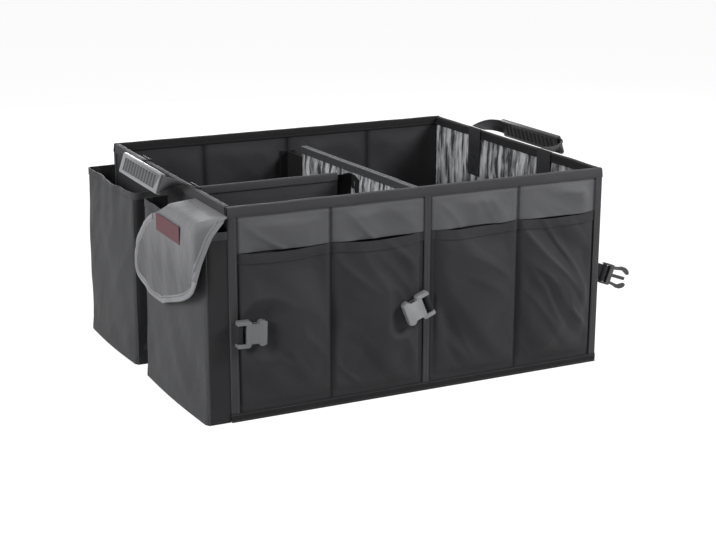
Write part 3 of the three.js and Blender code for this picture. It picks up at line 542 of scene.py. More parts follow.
# Walls: an outer cloth skin and a lining skin round the boards
def wall(name, box, along_x, outward, seams, outer_cloth, inner_cloth, inner_relief, seed):
    low, high = box
    run = Run(low, high, along_x)
    a0, a1, z0, z1 = run.a0, run.a1, low.z, high.z
    t_out, t_in = (run.t1, run.t0) if outward > 0 else (run.t0, run.t1)

    def margin(a, z):
        beside, above = min(a - a0, a1 - a), min(z - z0, z1 - z)
        return smoothstep(beside, 12 * MM, 45 * MM) * smoothstep(above, 13 * MM, 40 * MM)

    def seam_dip(a):
        return sum(math.exp(-((a - s) / (2.4 * MM)) ** 2) for s in seams)

    def outer(u, v):
        a, z = between(a0, a1, u), between(z0, z1, v)
        out = margin(a, z) * (0.9 * MM + 1.3 * MM * fold(a, z, seed)) - 0.35 * MM * seam_dip(a)
        return run.at(a, t_out + outward * (out - CLOTH / 2), z)

    def inner(u, v):
        a, z = between(a0, a1, u), between(z0, z1, v)
        if inner_relief > 0:
            swell = margin(a, z) * inner_relief * (0.8 + crinkle(a, z, seed))
        else:
            swell = margin(a, z) * (2.0 * MM + 5 * MM * drape(a, z, seed + 4))
            if along_x:
                swell *= smoothstep(abs(a - SEAM_X), 14 * MM, 24 * MM)
        drawn = min(1.0, sum(math.exp(-abs(a - s) / (5 * MM)) for s in seams))
        puff = max(0.0, swell) * (1 - 0.9 * drawn)
        return run.at(a, t_in + outward * (CLOTH / 2 + 0.3 * MM * seam_dip(a) - puff), z)

    nu, nv = int((a1 - a0) / (4 * MM)), int((z1 - z0) / (6.5 * MM))
    fine = 1.4 if inner_relief > 0 else 1
    parts = [skins(grid(outer, nu, nv), CLOTH * 0.9),
             skins(grid(inner, int(nu * fine), int(nv * fine)), CLOTH * 0.9, 1)]
    for s in seams:
        for dx in (-2.6 * MM, 2.6 * MM):
            for t, sign in ((t_out, outward), (t_in, -outward)):
                at = t + sign * 0.35 * MM
                line = [Vector(run.at(s + dx, at, between(z0, z1, k / 40))) for k in range(41)]
                parts.append(stitches(line, Vector(run.at(0, sign, 0)), number=2))
    cloths = [outer_cloth, inner_cloth, DARK_THREAD]
    piece = build(name + "_cloth", parts, cloths, ROOT, [name + "_cover"])
    boards_of(name.split("_")[0])


wall("front_wall", FRONT_WALL, True, -1, LONG_SEAMS, SHELL, DULL_LINING, 0, 1.3)
wall("back_wall", BACK_WALL, True, 1, LONG_SEAMS, SHELL, BACK_LINING, 0, 2.1)
wall("left_wall", LEFT_WALL, False, -1, [END_SEAM_Y], SHELL, DULL_LINING, 0, 3.7)
# The right wall's inner face turns to the key lamp and takes the lit copy of the lining.
wall("right_wall", RIGHT_WALL, False, 1, [END_SEAM_Y], SHELL, LIT_LINING, 2.2 * MM, 4.9)


# Front pockets: the cloth stands off the wall between its seams and sags at the mouth
MOUTH_Z = 240 * MM
MOUTH_SAG = 2.5 * MM
BULGE = 13 * MM
LIP = 2.2 * MM  # the cloth rises this much within a few millimetres of a seam
HEM = 13 * MM
SEAM_HALF = 3 * MM
BUCKLES = [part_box(node) for node in ("female_buckle_left", "female_buckle_centre")]


def press(x, z, stand):
    """Keeps the cloth behind the buckles that hang on it."""
    for low, high in BUCKLES:
        away = math.hypot(max(low.x - x, x - high.x, 0.0), max(low.z - z, z - high.z, 0.0))
        room = FRONT_WALL[0].y - GAP - CLOTH - high.y - 0.8 * MM
        room += 14 * MM * smoothstep(away, 2 * MM, 42 * MM)
        if stand > room:
            stand = room + (stand - room) * 0.1 * smoothstep(away, 2 * MM, 20 * MM)
    return stand


def sewn(surface, places, off):
    """Stitches over a front surface through its (u, v) places, off in front of it."""
    return stitches([Vector(surface(u, v)) - Y * off for u, v in places], -Y)


def front_pocket(name, from_x, to_x, middle, seed):
    foot = FRONT_WALL[0].z
    front = FRONT_WALL[0].y - GAP

    def stand(x):
        """0 at the seams of a bay to 1 in its middle."""
        a, b = from_x + HEM, middle - SEAM_HALF
        if x >= middle:
            a, b = middle + SEAM_HALF, to_x - HEM
        t = (x - a) / (b - a)
        return 0.0 if t <= 0 or t >= 1 else math.sin(math.pi * t) ** 0.8

    def off_seam(x):
        return max(0.0, min(abs(x - middle) - SEAM_HALF, x - from_x - HEM, to_x - HEM - x))

    def surface(u, v):
        x = between(from_x, to_x, u)
        full = stand(x)
        z = between(foot, MOUTH_Z - MOUTH_SAG * full, v)
        low = (18 * MM - foot) / (MOUTH_Z - foot)
        rise = 0.0 if v <= low else (v - low) / (1 - low)
        swell = BULGE * full * (0.3 * rise + 0.7 * math.sin(math.pi * rise ** 0.9))
        swell += LIP * (1 - math.exp(-off_seam(x) / (2.2 * MM))) * smoothstep(rise, 0.0, 0.06)
        soft = smoothstep(full, 0.0, 0.6) * smoothstep(rise, 0.0, 0.15)
        soft *= 1 - 0.5 * smoothstep(rise, 0.85, 1.0)
        relief = 20 * MM * drape(x, z, seed) * soft
        pleat = 0.4 * MM * math.sin(x / (9 * MM) + 3 * fold(x, z, seed + 2))
        pleat *= smoothstep(rise, 0.6, 1.0) * soft
        return (x, front - CLOTH / 2 - press(x, z, max(0.15 * swell, swell + relief + pleat)), z)

    def hem(u, v):
        """The hem turned outwards at the mouth."""
        x, y, z = surface(u, 1 - 0.058 * (1 - v))
        at_mouth = v > 0.98
        return (x, y - CLOTH * 0.95 + 0.25 * MM * at_mouth, z + 0.2 * MM * at_mouth)

    parts = [skins(grid(surface, 170, 100), CLOTH * 0.95), skins(grid(hem, 170, 6), 0.8 * MM)]
    parts.append(sewn(surface, [(k / 200, 1 - 0.05) for k in range(201)], 1.75 * MM))
    for dx in (-2 * MM, 2 * MM):
        u = (middle + dx - from_x) / (to_x - from_x)
        parts.append(sewn(surface, [(u, k / 80) for k in range(4, 76)], 0.75 * MM))
    piece = build(name + "_cloth", parts, [POCKET, DARK_THREAD], ROOT, [name])


LEFT_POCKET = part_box("front_pocket_left")
RIGHT_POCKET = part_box("front_pocket_right")
front_pocket("front_pocket_left", LEFT_POCKET[0].x, LEFT_POCKET[1].x, SEAM_X - BAY, 11.2)
front_pocket("front_pocket_right", RIGHT_POCKET[0].x, RIGHT_POCKET[1].x, SEAM_X + BAY, 17.9)


def upper_band():
    low, high = BAND

    def surface(u, v):
        x, z = between(low.x, high.x, u), between(low.z, high.z, v)
        near, down = min(abs(x - s) for s in LONG_SEAMS), high.z - z
        soft = smoothstep(near, 4 * MM, 40 * MM) * smoothstep(down, 14 * MM, 30 * MM)
        soft *= smoothstep(min(x - low.x, high.x - x), 12 * MM, 40 * MM)
        puff = max(0.0, soft * (3.4 * MM + 13 * MM * drape(x, 1.3 * z, 23.4)))
        puff += 1.2 * MM * smoothstep(near, 2.5 * MM, 8 * MM) * smoothstep(down, 13 * MM, 17 * MM)
        pucker = 0.35 * MM * math.sin(z / (3.2 * MM)) * math.exp(-near / (10 * MM))
        pucker *= z < high.z - 16 * MM
        return (x, (low.y + high.y) / 2 - puff - pucker, z)

    parts = [skins(grid(surface, 260, 30), CLOTH * 0.9)]
    for s in (LONG_SEAMS[0], LONG_SEAMS[2]):
        for dx in (-2.2 * MM, 2.2 * MM):
            u = (s + dx - low.x) / (high.x - low.x)
            parts.append(sewn(surface, [(u, k / 20 * 0.78) for k in range(21)], 0.7 * MM))
    cloths = [BAND_CLOTH, DARK_THREAD]
    piece = build("upper_band_cloth", parts, cloths, ROOT, ["front_upper_band"])


upper_band()


# Tapes
RIM_ROUND = 1.6 * MM


def rim_profile(near, far):
    """Section of the folded rim tape from its near to its far face, as (across, up) points."""
    t, drop, width, steps = 1.1 * MM, -RIM_TAPE, far - near, 6
    outer = [(0.0, drop), (0.0, -2.2 * MM)]
    for k in range(1, steps):
        a = math.pi * k / steps
        outer.append((width / 2 * (1 - math.cos(a)), -2.2 * MM + 2.2 * MM * math.sin(a) ** 0.7))
    outer += [(width, -2.2 * MM), (width, drop)]
    inner = [(width - t, drop), (width - t, -2.6 * MM), (width / 2, -1.5 * MM), (t, -2.6 * MM)]
    return [*outer, *inner, (t, drop)]


def edge_path(run, z0, z1, seed, wave, wide):
    """Path of a tape along a top edge that goes from height z0 to z1 with a slight wave."""
    steps = int((run.a1 - run.a0) / (6 * MM))
    path = []
    for k in range(steps + 1):
        a = between(run.a0, run.a1, k / steps)
        z = between(z0, z1, k / steps) + wave * ripple(a / wide, seed, 0)
        path.append((Vector(run.at(a, run.t0, z)), run.side, Z))
    return path


def sewn_sides(path, width, down):
    """Stitches on both faces of a folded tape, down below its top."""
    parts = []
    for across, sign in ((0.0, -1), (width, 1)):
        line = [c + side * (across + sign * 0.1 * MM) - Z * down for c, side, _ in path]
        parts.append(stitches(line, path[0][1] * sign))
    return parts


def drawn_in(part, run):
    """The tape with its folded ends rounded over, so that the flap clears them as it turns up."""
    verts, faces, numbers = part
    axis = 0 if run.along_x else 1
    for v in verts:
        crown = smoothstep(v.z, TOP - 7 * MM, TOP - 1 * MM)
        at_start, at_stop = (abs(v[axis] - end) < 1e-6 for end in (run.a0, run.a1))
        v[axis] += RIM_ROUND * crown * (at_start - at_stop)
    return verts, faces, numbers


def rim_tape(name, seed):
    low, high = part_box(name)
    run = Run(low, high, high.x - low.x > high.y - low.y)
    path = edge_path(run, TOP - 0.3 * MM, TOP - 0.3 * MM, seed, 0.5 * MM, 0.05)
    parts = [drawn_in(sweep(path, rim_profile(run.t0, run.t1)), run)]
    parts += sewn_sides(path, run.t1 - run.t0, RIM_TAPE - 2.6 * MM)
    tone = TAPE if name.endswith(("front", "left")) else DARK_TAPE
    build(name + "_tape", parts, [tone, DARK_THREAD], ROOT, [name])


for index, end in enumerate(("front", "back", "left", "right")):
    rim_tape("rim_binding_" + end, 3.1 + index)


def corner_tape(name):
    low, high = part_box(name)
    sx, sy = (1 if low.x > 0 else -1), (1 if low.y > 0 else -1)
    x, y = (high.x if sx > 0 else low.x), (high.y if sy > 0 else low.y)
    leg, t, r = high.x - low.x, 1.1 * MM, 2.2 * MM
    loop = [(leg, 0.0)]
    for k in range(5):
        a = math.pi / 2 * k / 4
        loop.append((r - r * math.sin(a), r - r * math.cos(a)))
    loop += [(0.0, leg), (t, leg), (t, r), (r, t), (leg, t)]
    side, rise = -sx * X, -sy * Y
    run = [Vector((x, y, between(low.z, high.z, k / 60))) for k in range(61)]
    parts = [sweep([(c, side, rise) for c in run], loop)]
    for along, out in ((side, rise), (rise, side)):
        move = along * (leg - 2.4 * MM) - out * 0.1 * MM
        parts.append(stitches([c + move for c in run], -out))
    build(name + "_tape", parts, [TAPE, THREAD], ROOT, [name])


for corner in ("front_left", "front_right", "back_left", "back_right"):
    corner_tape("corner_binding_" + corner)


def flat_tape(name, outward, material):
    """A straight tape on a wall: pillowed section, with stitches near both long edges."""
    low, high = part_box(name)
    size, centre = high - low, (low + high) / 2
    along = max(range(3), key=lambda k: size[k])
    across = next(k for k in range(3) if k != along and abs(outward[k]) < 0.5)
    side = (X, Y, Z)[across]
    ends = (centre.copy(), centre.copy())
    ends[0][along], ends[1][along] = low[along], high[along]
    half, t = size[across] / 2, CLOTH / 2
    upper = [(half, t * 0.4), (half - 0.8 * MM, t), (half - 2.4 * MM, t * 0.75)]
    loop = [(-half, -t), (half, -t), *upper, (0.0, t), *((-a, b) for a, b in reversed(upper))]
    steps = max(2, int(size[along] / (7 * MM)))
    path = [(ends[0].lerp(ends[1], k / steps), side, outward) for k in range(steps + 1)]
    parts = [sweep(path, loop)]
    for sign in (-1, 1):
        move = side * sign * (half - 2.4 * MM) + outward * t * 0.8
        parts.append(stitches([c + move for c, _, _ in path], outward))
    build(name + "_tape", parts, [material, THREAD], ROOT, [name])


for end, outward in (("front", -Y), ("back", Y), ("right", X)):
    flat_tape("bottom_binding_" + end, outward, FOOT_TAPE)
flat_tape("front_centre_binding", -Y, TAPE)


# Boxed pockets on the left end: one cloth bent round three sides, and a foot
POCKET_OUT = 36 * MM
POCKET_SPLAY = 15 * MM
POCKET_CROWN = 3 * MM
POCKET_LEAN = 4 * MM
CORNER_R = 9 * MM
POCKETS_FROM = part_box("left_pocket_front")[0].y
POCKETS_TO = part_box("left_pocket_back")[1].y


def pocket_depth(y):
    """How far the pockets' foot stands off the end of the box at place y."""
    return POCKET_OUT + POCKET_SPLAY * (y - POCKETS_FROM) / (POCKETS_TO - POCKETS_FROM)


def end_pocket(name, seed):
    low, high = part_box(name)
    y0, y1, top = low.y, high.y, high.z
    wall_x = high.x
    turn = CORNER_R * math.pi / 2

    def section(u, z):
        """Place and outward direction at share u of the way round the three sides."""
        lean = POCKET_LEAN * z / top
        near = pocket_depth(y0) - lean - CORNER_R
        far = pocket_depth(y1) - lean - CORNER_R
        face = y1 - y0 - 2 * CORNER_R
        s = u * (near + far + 2 * turn + face)
        if s < near:
            return wall_x - s, y0, 0, -1
        s -= near
        if s < turn:
            a = s / CORNER_R
            x = wall_x - near - CORNER_R * math.sin(a)
            return x, y0 + CORNER_R * (1 - math.cos(a)), -math.sin(a), -math.cos(a)
        s -= turn
        if s < face:
            share = s / face
            return wall_x - CORNER_R - near - (far - near) * share, y0 + CORNER_R + s, -1, 0
        s -= face
        if s < turn:
            a = s / CORNER_R
            x = wall_x - far - CORNER_R * math.cos(a)
            return x, y1 - CORNER_R + CORNER_R * math.sin(a), -math.cos(a), math.sin(a)
        return wall_x - far + (s - turn), y1, 0, 1

    def arch(y):
        """0 at the corners of the outer face to 1 in its middle."""
        return math.sin(math.pi * clamp((y - y0 - CORNER_R) / (y1 - y0 - 2 * CORNER_R)))

    def surface(u, v):
        z = between(low.z, top, v)
        x, y, nx, ny = section(u, z)
        full = arch(y) * max(0.0, -nx)
        soft = smoothstep(min(u, 1 - u), 0.01, 0.09) * smoothstep(v, 0.0, 0.1)
        hold = 0.35 + 0.65 * math.sqrt(max(0.0, arch(y)))
        relief = soft * (7 * MM * hold * drape(y - x, z, seed) - 1.6 * MM)
        pleat = soft * 0.8 * MM * math.sin((y - x) / (8 * MM) + 4 * fold(y, z, seed + 5))
        pleat *= smoothstep(v, 0.55, 1.0)
        slack = -3.5 * MM * smoothstep(v, 0.75, 1.0) * full
        sag = -3 * MM * smoothstep(v, 0.8, 1.0) * full
        move = relief + pleat + slack - CLOTH / 2
        return (x - POCKET_CROWN * full + nx * move, y + ny * move, z + sag)

    verts, faces, _ = skins(grid(surface, 120, 84), CLOTH)
    # The gusset sides, turned away from the key lamp, take the shaded copy of the cloth.
    numbers = []
    for face in faces:
        middle = sum(verts[k][1] for k in face) / len(face)
        numbers.append(int(middle < y0 + CORNER_R * 0.35 or middle > y1 - CORNER_R * 0.35))
    parts = [(verts, faces, numbers)]

    def hem(u, v):
        x, y, z = surface(u, 1 - 0.04 * (1 - v))
        _, _, nx, ny = section(u, z)
        return (x + nx * CLOTH, y + ny * CLOTH, z + (0.25 * MM if v > 0.98 else 0.0))

    parts.append(skins(grid(hem, 120, 5), 0.9 * MM))
    line, ways = [], {}
    for k in range(241):
        x, y, z = surface(k / 240, 1 - 0.033)
        _, _, nx, ny = section(k / 240, z)
        way = Vector((nx, ny, 0))
        line.append(Vector((x, y, z)) + way * 1.75 * MM)
        ways[tuple(line[-1])] = way
    parts.append(stitches(line, lambda p: ways[tuple(p)], number=2))

    # Raised seams down the two outer corners, as the gussets are sewn to the face there
    near, far = pocket_depth(y0), pocket_depth(y1)
    whole = near + far - 2 * CORNER_R + 2 * turn + y1 - y0 - 2 * CORNER_R
    for u in ((near - CORNER_R * 0.5) / whole, 1 - (far - CORNER_R * 0.5) / whole):
        ridge = []
        for k in range(51):
            x, y, z = surface(u, k / 50 * 0.95)
            _, _, nx, ny = section(u, z)
            centre = Vector((x + nx * 0.5 * MM, y + ny * 0.5 * MM, z))
            ridge.append((centre, Vector((-ny, nx, 0)), Vector((nx, ny, 0))))
        parts.append(sweep(ridge, bead(1.6 * MM, 1.2 * MM, 8)))

    def foot(u, v):
        y = between(y0 + 1.6 * MM, y1 - 1.6 * MM, u)
        reach = pocket_depth(y) - 1.6 * MM + POCKET_CROWN * arch(y)
        edge = max(0.0, CORNER_R - min(y - y0, y1 - y))
        reach -= CORNER_R - math.sqrt(max(0.0, CORNER_R ** 2 - edge ** 2))
        return (wall_x - 0.2 * MM - (reach - 0.2 * MM) * v, y, low.z + 1.0 * MM)

    parts.append(skins(grid(foot, 40, 8), 1.6 * MM, 1))
    cloths = [LIT_END_CLOTH, SHADED_GUSSET, DARK_THREAD]
    piece = build(name + "_cloth", parts, cloths, ROOT, [name])


end_pocket("left_pocket_front", 31.5)
end_pocket("left_pocket_back", 37.2)


# Flap: root at the rim, out over the pocket, then down with a rounded foot and a turned front edge
FLAP_HINGE = (-302 * MM, 292 * MM)
FLAP_ROOT = -1.65 * MM
FLAP_OUT = 350.26 * MM
FLAP_LENGTH = 183 * MM
BEND = 18 * MM
BEND_RUN = 26.8 * MM  # of the cloth's length, that turns down
WRAP = 0.14
FLAP_CORNER = 0.705  # share of the length where the front edge starts to round into the foot
TAPE_WIDE = 9 * MM
TAPE_END = 60 * MM  # the tape on the back edge ends this far down the cloth
FLAP_FRONT = -252 * MM  # the cloth turns in here towards the pocket's side
TURN_SWING = 5.6 * MM  # by which the turned edge stands out in front
TURN_END, TURN_FADE = 116, 14  # in mm down the cloth: where the turn ends, and how soon it is flat
TURN_BACK, TURN_UNDER = 4 * MM, 5 * MM  # what is left of it there, inwards and under the foot
FLAP_BACK = [(0, -132), (47.6, -132), (62.2, -86.4), (76.9, -62.4), (93.3, -43.2), (115.3, -24),
             (140, -12), (157.4, -12), (168.4, -20.4), (176.6, -39.6), (183, -72)]
FLAP_DIAGONAL = [(0, 303.2, 292), (46, 324, 268), (90, 340, 233), (116, 348, 208)]
FLAP_FOOT = [(0, -252), (128, -252), (138, -243), (150, -222), (164, -182.4), (175.7, -140.4),
             (183, -112)]


def follow(pairs, at, column=1):
    """The value at a place in a list of (place, value, ...) rows, held beyond its ends."""
    k = 1
    while k < len(pairs) - 1 and pairs[k][0] < at:
        k += 1
    a, b = pairs[k - 1], pairs[k]
    return between(a[column], b[column], clamp((at - a[0]) / (b[0] - a[0])))


def eased(pairs, at, column=1, width=7):
    """The same reading, averaged over a short stretch so that the outline has no corners."""
    places = [at + width * k / 3 for k in range(-3, 4)]
    return sum(follow(pairs, p, column) for p in places) / len(places)


def flap_point(s, y):
    """The place s along the flat flap from its hinge: out over the pocket, round the bend, down."""
    top = FLAP_OUT + FLAP_HINGE[0] - BEND
    if s < top:
        return [FLAP_HINGE[0] - s, y, FLAP_HINGE[1] - s * 0.1]
    z = FLAP_HINGE[1] - top * 0.1
    a = (s - top) / BEND_RUN * math.pi / 2
    if s < top + BEND_RUN:
        return [FLAP_HINGE[0] - top - BEND * math.sin(a), y, z - BEND * (1 - math.cos(a))]
    return [-FLAP_OUT, y, z - BEND - (s - top - BEND_RUN)]


def flap_surface(u, v):
    s = between(FLAP_ROOT, FLAP_LENGTH, v)
    at = s / MM
    y_back, y_foot = eased(FLAP_BACK, at) * MM, eased(FLAP_FOOT, at) * MM
    if u >= WRAP:
        t = (u - WRAP) / (1 - WRAP)
        y = between(y_foot, y_back, t)
        p = flap_point(s, y)
        wave = 3.0 * MM * ripple(y / 0.035, s / 0.16, 41.0)
        wave += 1.3 * MM * ripple((y + 0.5 * s) / 0.014, s / 0.09, 43.0)
        edge = smoothstep(min(t, 1.15 - t), 0.0, 0.12) * smoothstep(1 - v, -0.05, 0.1)
        p[0] -= smoothstep(v, 0.3, 0.5) * edge * (wave + 1.4 * MM)
        return tuple(p)
    x, _, z = flap_point(s, y_foot)
    t = 1 - u / WRAP
    if at >= TURN_END:
        back = t * max(0.0, 1 - (at - TURN_END) / TURN_FADE) * TURN_BACK
        return (x + back, y_foot - t * TURN_UNDER, z)
    edge_x, edge_z = -eased(FLAP_DIAGONAL, at) * MM, eased(FLAP_DIAGONAL, at, 2) * MM
    y = FLAP_FRONT - TURN_SWING * min(1.0, t * 2.2)
    return (between(x, edge_x, t * t), y, between(z, edge_z, t))


def flap_normal(u, v):
    d = 0.004
    u0, u1 = max(0.0, u - d), min(1.0, u + d)
    v0, v1 = max(0.0, v - d), min(1.0, v + d)
    du = Vector(flap_surface(u1, v)) - Vector(flap_surface(u0, v))
    dv = Vector(flap_surface(u, v1)) - Vector(flap_surface(u, v0))
    return du.cross(dv).normalized()


def flap():
    parts = [skins(grid(flap_surface, 84, 96), 1.9 * MM)]
    piece = build("pocket_flap_cloth", parts, [FLAP_CLOTH], FLAP, ["pocket_flap"])
    flap_area()
    tones = [FLAP_TAPE, THREAD]
    build("pocket_flap_edge_tape", flap_tape(), tones, FLAP, ["pocket_flap_binding"])


def flap_area():
    mid = grid(flap_surface, 60, 60)
    du, dv = np.diff(mid, axis=1)[:-1], np.diff(mid, axis=0)[:, :-1]
    return float(np.linalg.norm(np.cross(du, dv), axis=2).sum())


def flap_place(y, s):
    """The (u, v) of the place at y, s down the hanging part of the flap."""
    at = s / MM
    y_back, y_foot = eased(FLAP_BACK, at) * MM, eased(FLAP_FOOT, at) * MM
    v = (s - FLAP_ROOT) / (FLAP_LENGTH - FLAP_ROOT)
    if y < y_foot:
        return WRAP * max(0.0, 1 - (y_foot - y) / (5 * MM)), v
    return WRAP + (1 - WRAP) * min(1.0, (y - y_foot) / max(y_back - y_foot, 1e-6)), v


def front_rows(shares):
    """The tape's places across it, down the straight front edge."""
    rows = []
    us = [0.012 * i for i in range(31)]
    for k in range(80):
        v = between(0.05, FLAP_CORNER, k / 80)
        line = [Vector(flap_surface(u, v)) for u in us]
        run = [0.0]
        for a, b in zip(line, line[1:]):
            run.append(run[-1] + (b - a).length)
        rows.append([(float(np.interp(share * TAPE_WIDE, run, us)), v) for share in shares])
    return rows


def foot_rows(shares):
    """The same round the foot and up the back edge."""
    edge = []
    for k in range(121):
        s = between(FLAP_ROOT, FLAP_LENGTH, between(FLAP_CORNER, 1, k / 120))
        edge.append((eased(FLAP_FOOT, s / MM) * MM - TURN_UNDER, s))
    y0, y1 = edge[-1][0], eased(FLAP_BACK, FLAP_LENGTH / MM) * MM
    edge += [(between(y0, y1, k / 12), FLAP_LENGTH) for k in range(1, 12)]
    for k in range(161):
        s = between(FLAP_LENGTH, TAPE_END, k / 160)
        edge.append((eased(FLAP_BACK, s / MM) * MM, s))
    edge = np.array(edge)
    run = np.concatenate([[0], np.cumsum(np.linalg.norm(np.diff(edge, axis=0), axis=1))])
    places = np.linspace(0, run[-1], 170)
    edge = np.stack([np.interp(places, run, column) for column in edge.T], axis=1)
    along = np.gradient(edge, axis=0)
    for _ in range(4):
        along[1:-1] = (along[:-2] + along[1:-1] + along[2:]) / 3
    along /= np.linalg.norm(along, axis=1, keepdims=True)
    rows = []
    for (y, s), (dy, ds) in zip(edge, along):
        deep = [share * TAPE_WIDE for share in shares]
        rows.append([flap_place(y + ds * d, s - dy * d) for d in deep])
    return rows


TAPE_SHARES = [0.0, 0.18, 0.5, 0.72, 0.86, 1.0]
TAPE_SECTION = [(1.0, 1.05), (0.86, 1.75), (0.5, 1.9), (0.18, 1.9), (-0.06, 1.4), (-0.16, 0.0),
                (-0.06, -1.4), (0.18, -1.9), (0.5, -1.9), (0.86, -1.7), (1.0, -1.05)]


def flap_tape():
    """The edge tape folded over the cloth, thinner near the root so that it clears the rim."""
    rows, line, ways = [], [], {}
    for place in front_rows(TAPE_SHARES) + foot_rows(TAPE_SHARES):
        known = {share: (Vector(flap_surface(*uv)), flap_normal(*uv))
                 for share, uv in zip(TAPE_SHARES, place)}
        edge = known[0.0][0]
        inward = (known[1.0][0] - edge).normalized()
        slim = 0.55 + 0.45 * smoothstep(place[0][1], 0.09, 0.14)
        row = []
        for deep, lift in TAPE_SECTION:
            base, normal = known.get(deep, (edge + inward * deep * TAPE_WIDE, known[0.18][1]))
            row.append(base + normal * lift * slim * MM)
        rows.append(row)
        seam, normal = known[0.72]
        line.append(seam + normal * 1.95 * MM * slim)
        ways[tuple(line[-1])] = normal
    return [tube(rows), stitches(line, lambda p: ways[tuple(p)])]


flap()


def label():
    low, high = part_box("pocket_flap_label")

    def surface(u, v):
        pillow = 0.25 * MM * smoothstep(min(u, 1 - u, v, 1 - v), 0.0, 0.06)
        x = (low.x + high.x) / 2 - pillow - 1.1 * MM
        return (x, between(low.y, high.y, u), between(low.z, high.z, v))

    inset, x = 2 * MM, low.x - 1.35 * MM
    y0, y1, z0, z1 = low.y + inset, high.y - inset, low.z + inset, high.z - inset
    loop = [Vector((x, y, z)) for y, z in ((y0, z0), (y1, z0), (y1, z1), (y0, z1), (y0, z0))]
    line = [a.lerp(b, k / 12) for a, b in zip(loop, loop[1:]) for k in range(12)]
    line.append(line[0].copy())
    sewn = stitches(line, -X, pitch=3 * MM, length=2 * MM, width=0.35 * MM)
    parts = [skins(grid(surface, 40, 18), 0.8 * MM), sewn]
    tones = [LABEL, THREAD]
    build("pocket_flap_label_patch", parts, tones, FLAP, ["pocket_flap_label"])


label()


# Handles
HINGE_X, HINGE_Z = 295.5 * MM, 306.6 * MM
LEG_INNER, LEG_OUTER = 89 * MM, 127 * MM
STRAP = 1.6 * MM
LENGTH_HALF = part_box("rim_binding_front")[1].x
GRIP_X, GRIP_Z, GRIP_HALF, GRIP_HEIGHT, GRIP_TILT = 335 * MM, 307 * MM, 86 * MM, 31 * MM, 18


def strap_path(t, outer_edge):
    """One edge of the strap at share t of its length: leg, straight run behind the grip, leg."""
    away = abs(t - 0.5) * 2
    mirror = -1 if t < 0.5 else 1
    leg = max(0.0, (away - 0.6) / 0.4)
    lean = math.radians(GRIP_TILT)
    reach = (GRIP_HEIGHT / 2 - 3.5 * MM) * (1 if outer_edge else -1)
    x, y, z = GRIP_X - reach * math.sin(lean), GRIP_HALF + 2 * MM, GRIP_Z + reach * math.cos(lean)
    if leg == 0:
        return x, mirror * away / 0.6 * y, z
    end = (HINGE_X + 1.2 * MM, LEG_OUTER if outer_edge else LEG_INNER, HINGE_Z)
    knee = (HINGE_X + 22 * MM, LEG_INNER, HINGE_Z - 1 * MM)
    if outer_edge:
        knee = (HINGE_X + 30 * MM, LEG_OUTER - 6 * MM, HINGE_Z + 15 * MM)
    shares = (1 - leg) ** 2, 2 * leg * (1 - leg), leg * leg
    x, y, z = (sum(f * c for f, c in zip(shares, row)) for row in zip((x, y, z), knee, end))
    return x, mirror * y, z


def handle_strap(end, side):
    def surface(u, v):
        inner, outer = strap_path(u, False), strap_path(u, True)
        x, y, z = (between(a, b, v) for a, b in zip(inner, outer))
        return side * x, y, z

    mid = grid(surface, 150, 12)
    parts = [skins(mid, STRAP)]
    n = normals(mid)
    for column in (1, 11):
        for first, last in ((0, 28), (122, 150)):
            for sign in (1, -1):
                out = sign * n[column]
                line = [Vector(mid[column][k] + out[k] * STRAP * 0.52) for k in range(first, last)]
                way = {tuple(p): Vector(out[first + k]) for k, p in enumerate(line)}
                parts.append(stitches(line, lambda p, w=way: w[tuple(p)]))
    # The left handle takes the lit, paler copy of the webbing.
    tones, body = [LIT_WEBBING if side < 0 else WEBBING, THREAD], end + "_handle"
    build(body + "_strap", parts, tones, body, [body + "_webbing"])


def strap_end(node, side):
    """The strap's sewn end inside the wall, with a boxed cross of stitches."""
    low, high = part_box(node)
    inner_x, outer_x = (low.x, high.x) if side > 0 else (high.x, low.x)
    rail_x, under = side * (LENGTH_HALF - 9.3 * MM), high.z - STRAP
    profile = [(rail_x, low.z), (inner_x, low.z), (inner_x, high.z - 1.2 * MM),
               (inner_x + side * 0.5 * MM, high.z - 0.3 * MM), (inner_x + side * 1.4 * MM, high.z),
               (outer_x, high.z), (outer_x, under), (rail_x, under)]
    path = [(Y * between(low.y, high.y, k / 10), X, Z) for k in range(11)]
    parts = [sweep(path, profile)]
    face = inner_x - side * 0.1 * MM
    y0, y1, z0, z1 = low.y + 4 * MM, high.y - 4 * MM, low.z + 5 * MM, low.z + 38 * MM
    a, b, c, d = (Vector((face, y, z)) for y, z in ((y0, z0), (y1, z0), (y1, z1), (y0, z1)))
    for start, stop in ((a, b), (b, c), (c, d), (d, a), (a, c), (d, b)):
        parts.append(stitches([start.lerp(stop, k / 8) for k in range(9)], -side * X))
    build(node + "_strap", parts, [WEBBING, THREAD], ROOT, [node])


def solid(node):
    """The object that a node of the solids came in as."""
    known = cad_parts.get(node)
    return known if isinstance(known, bpy.types.Object) else bpy.data.objects[node]


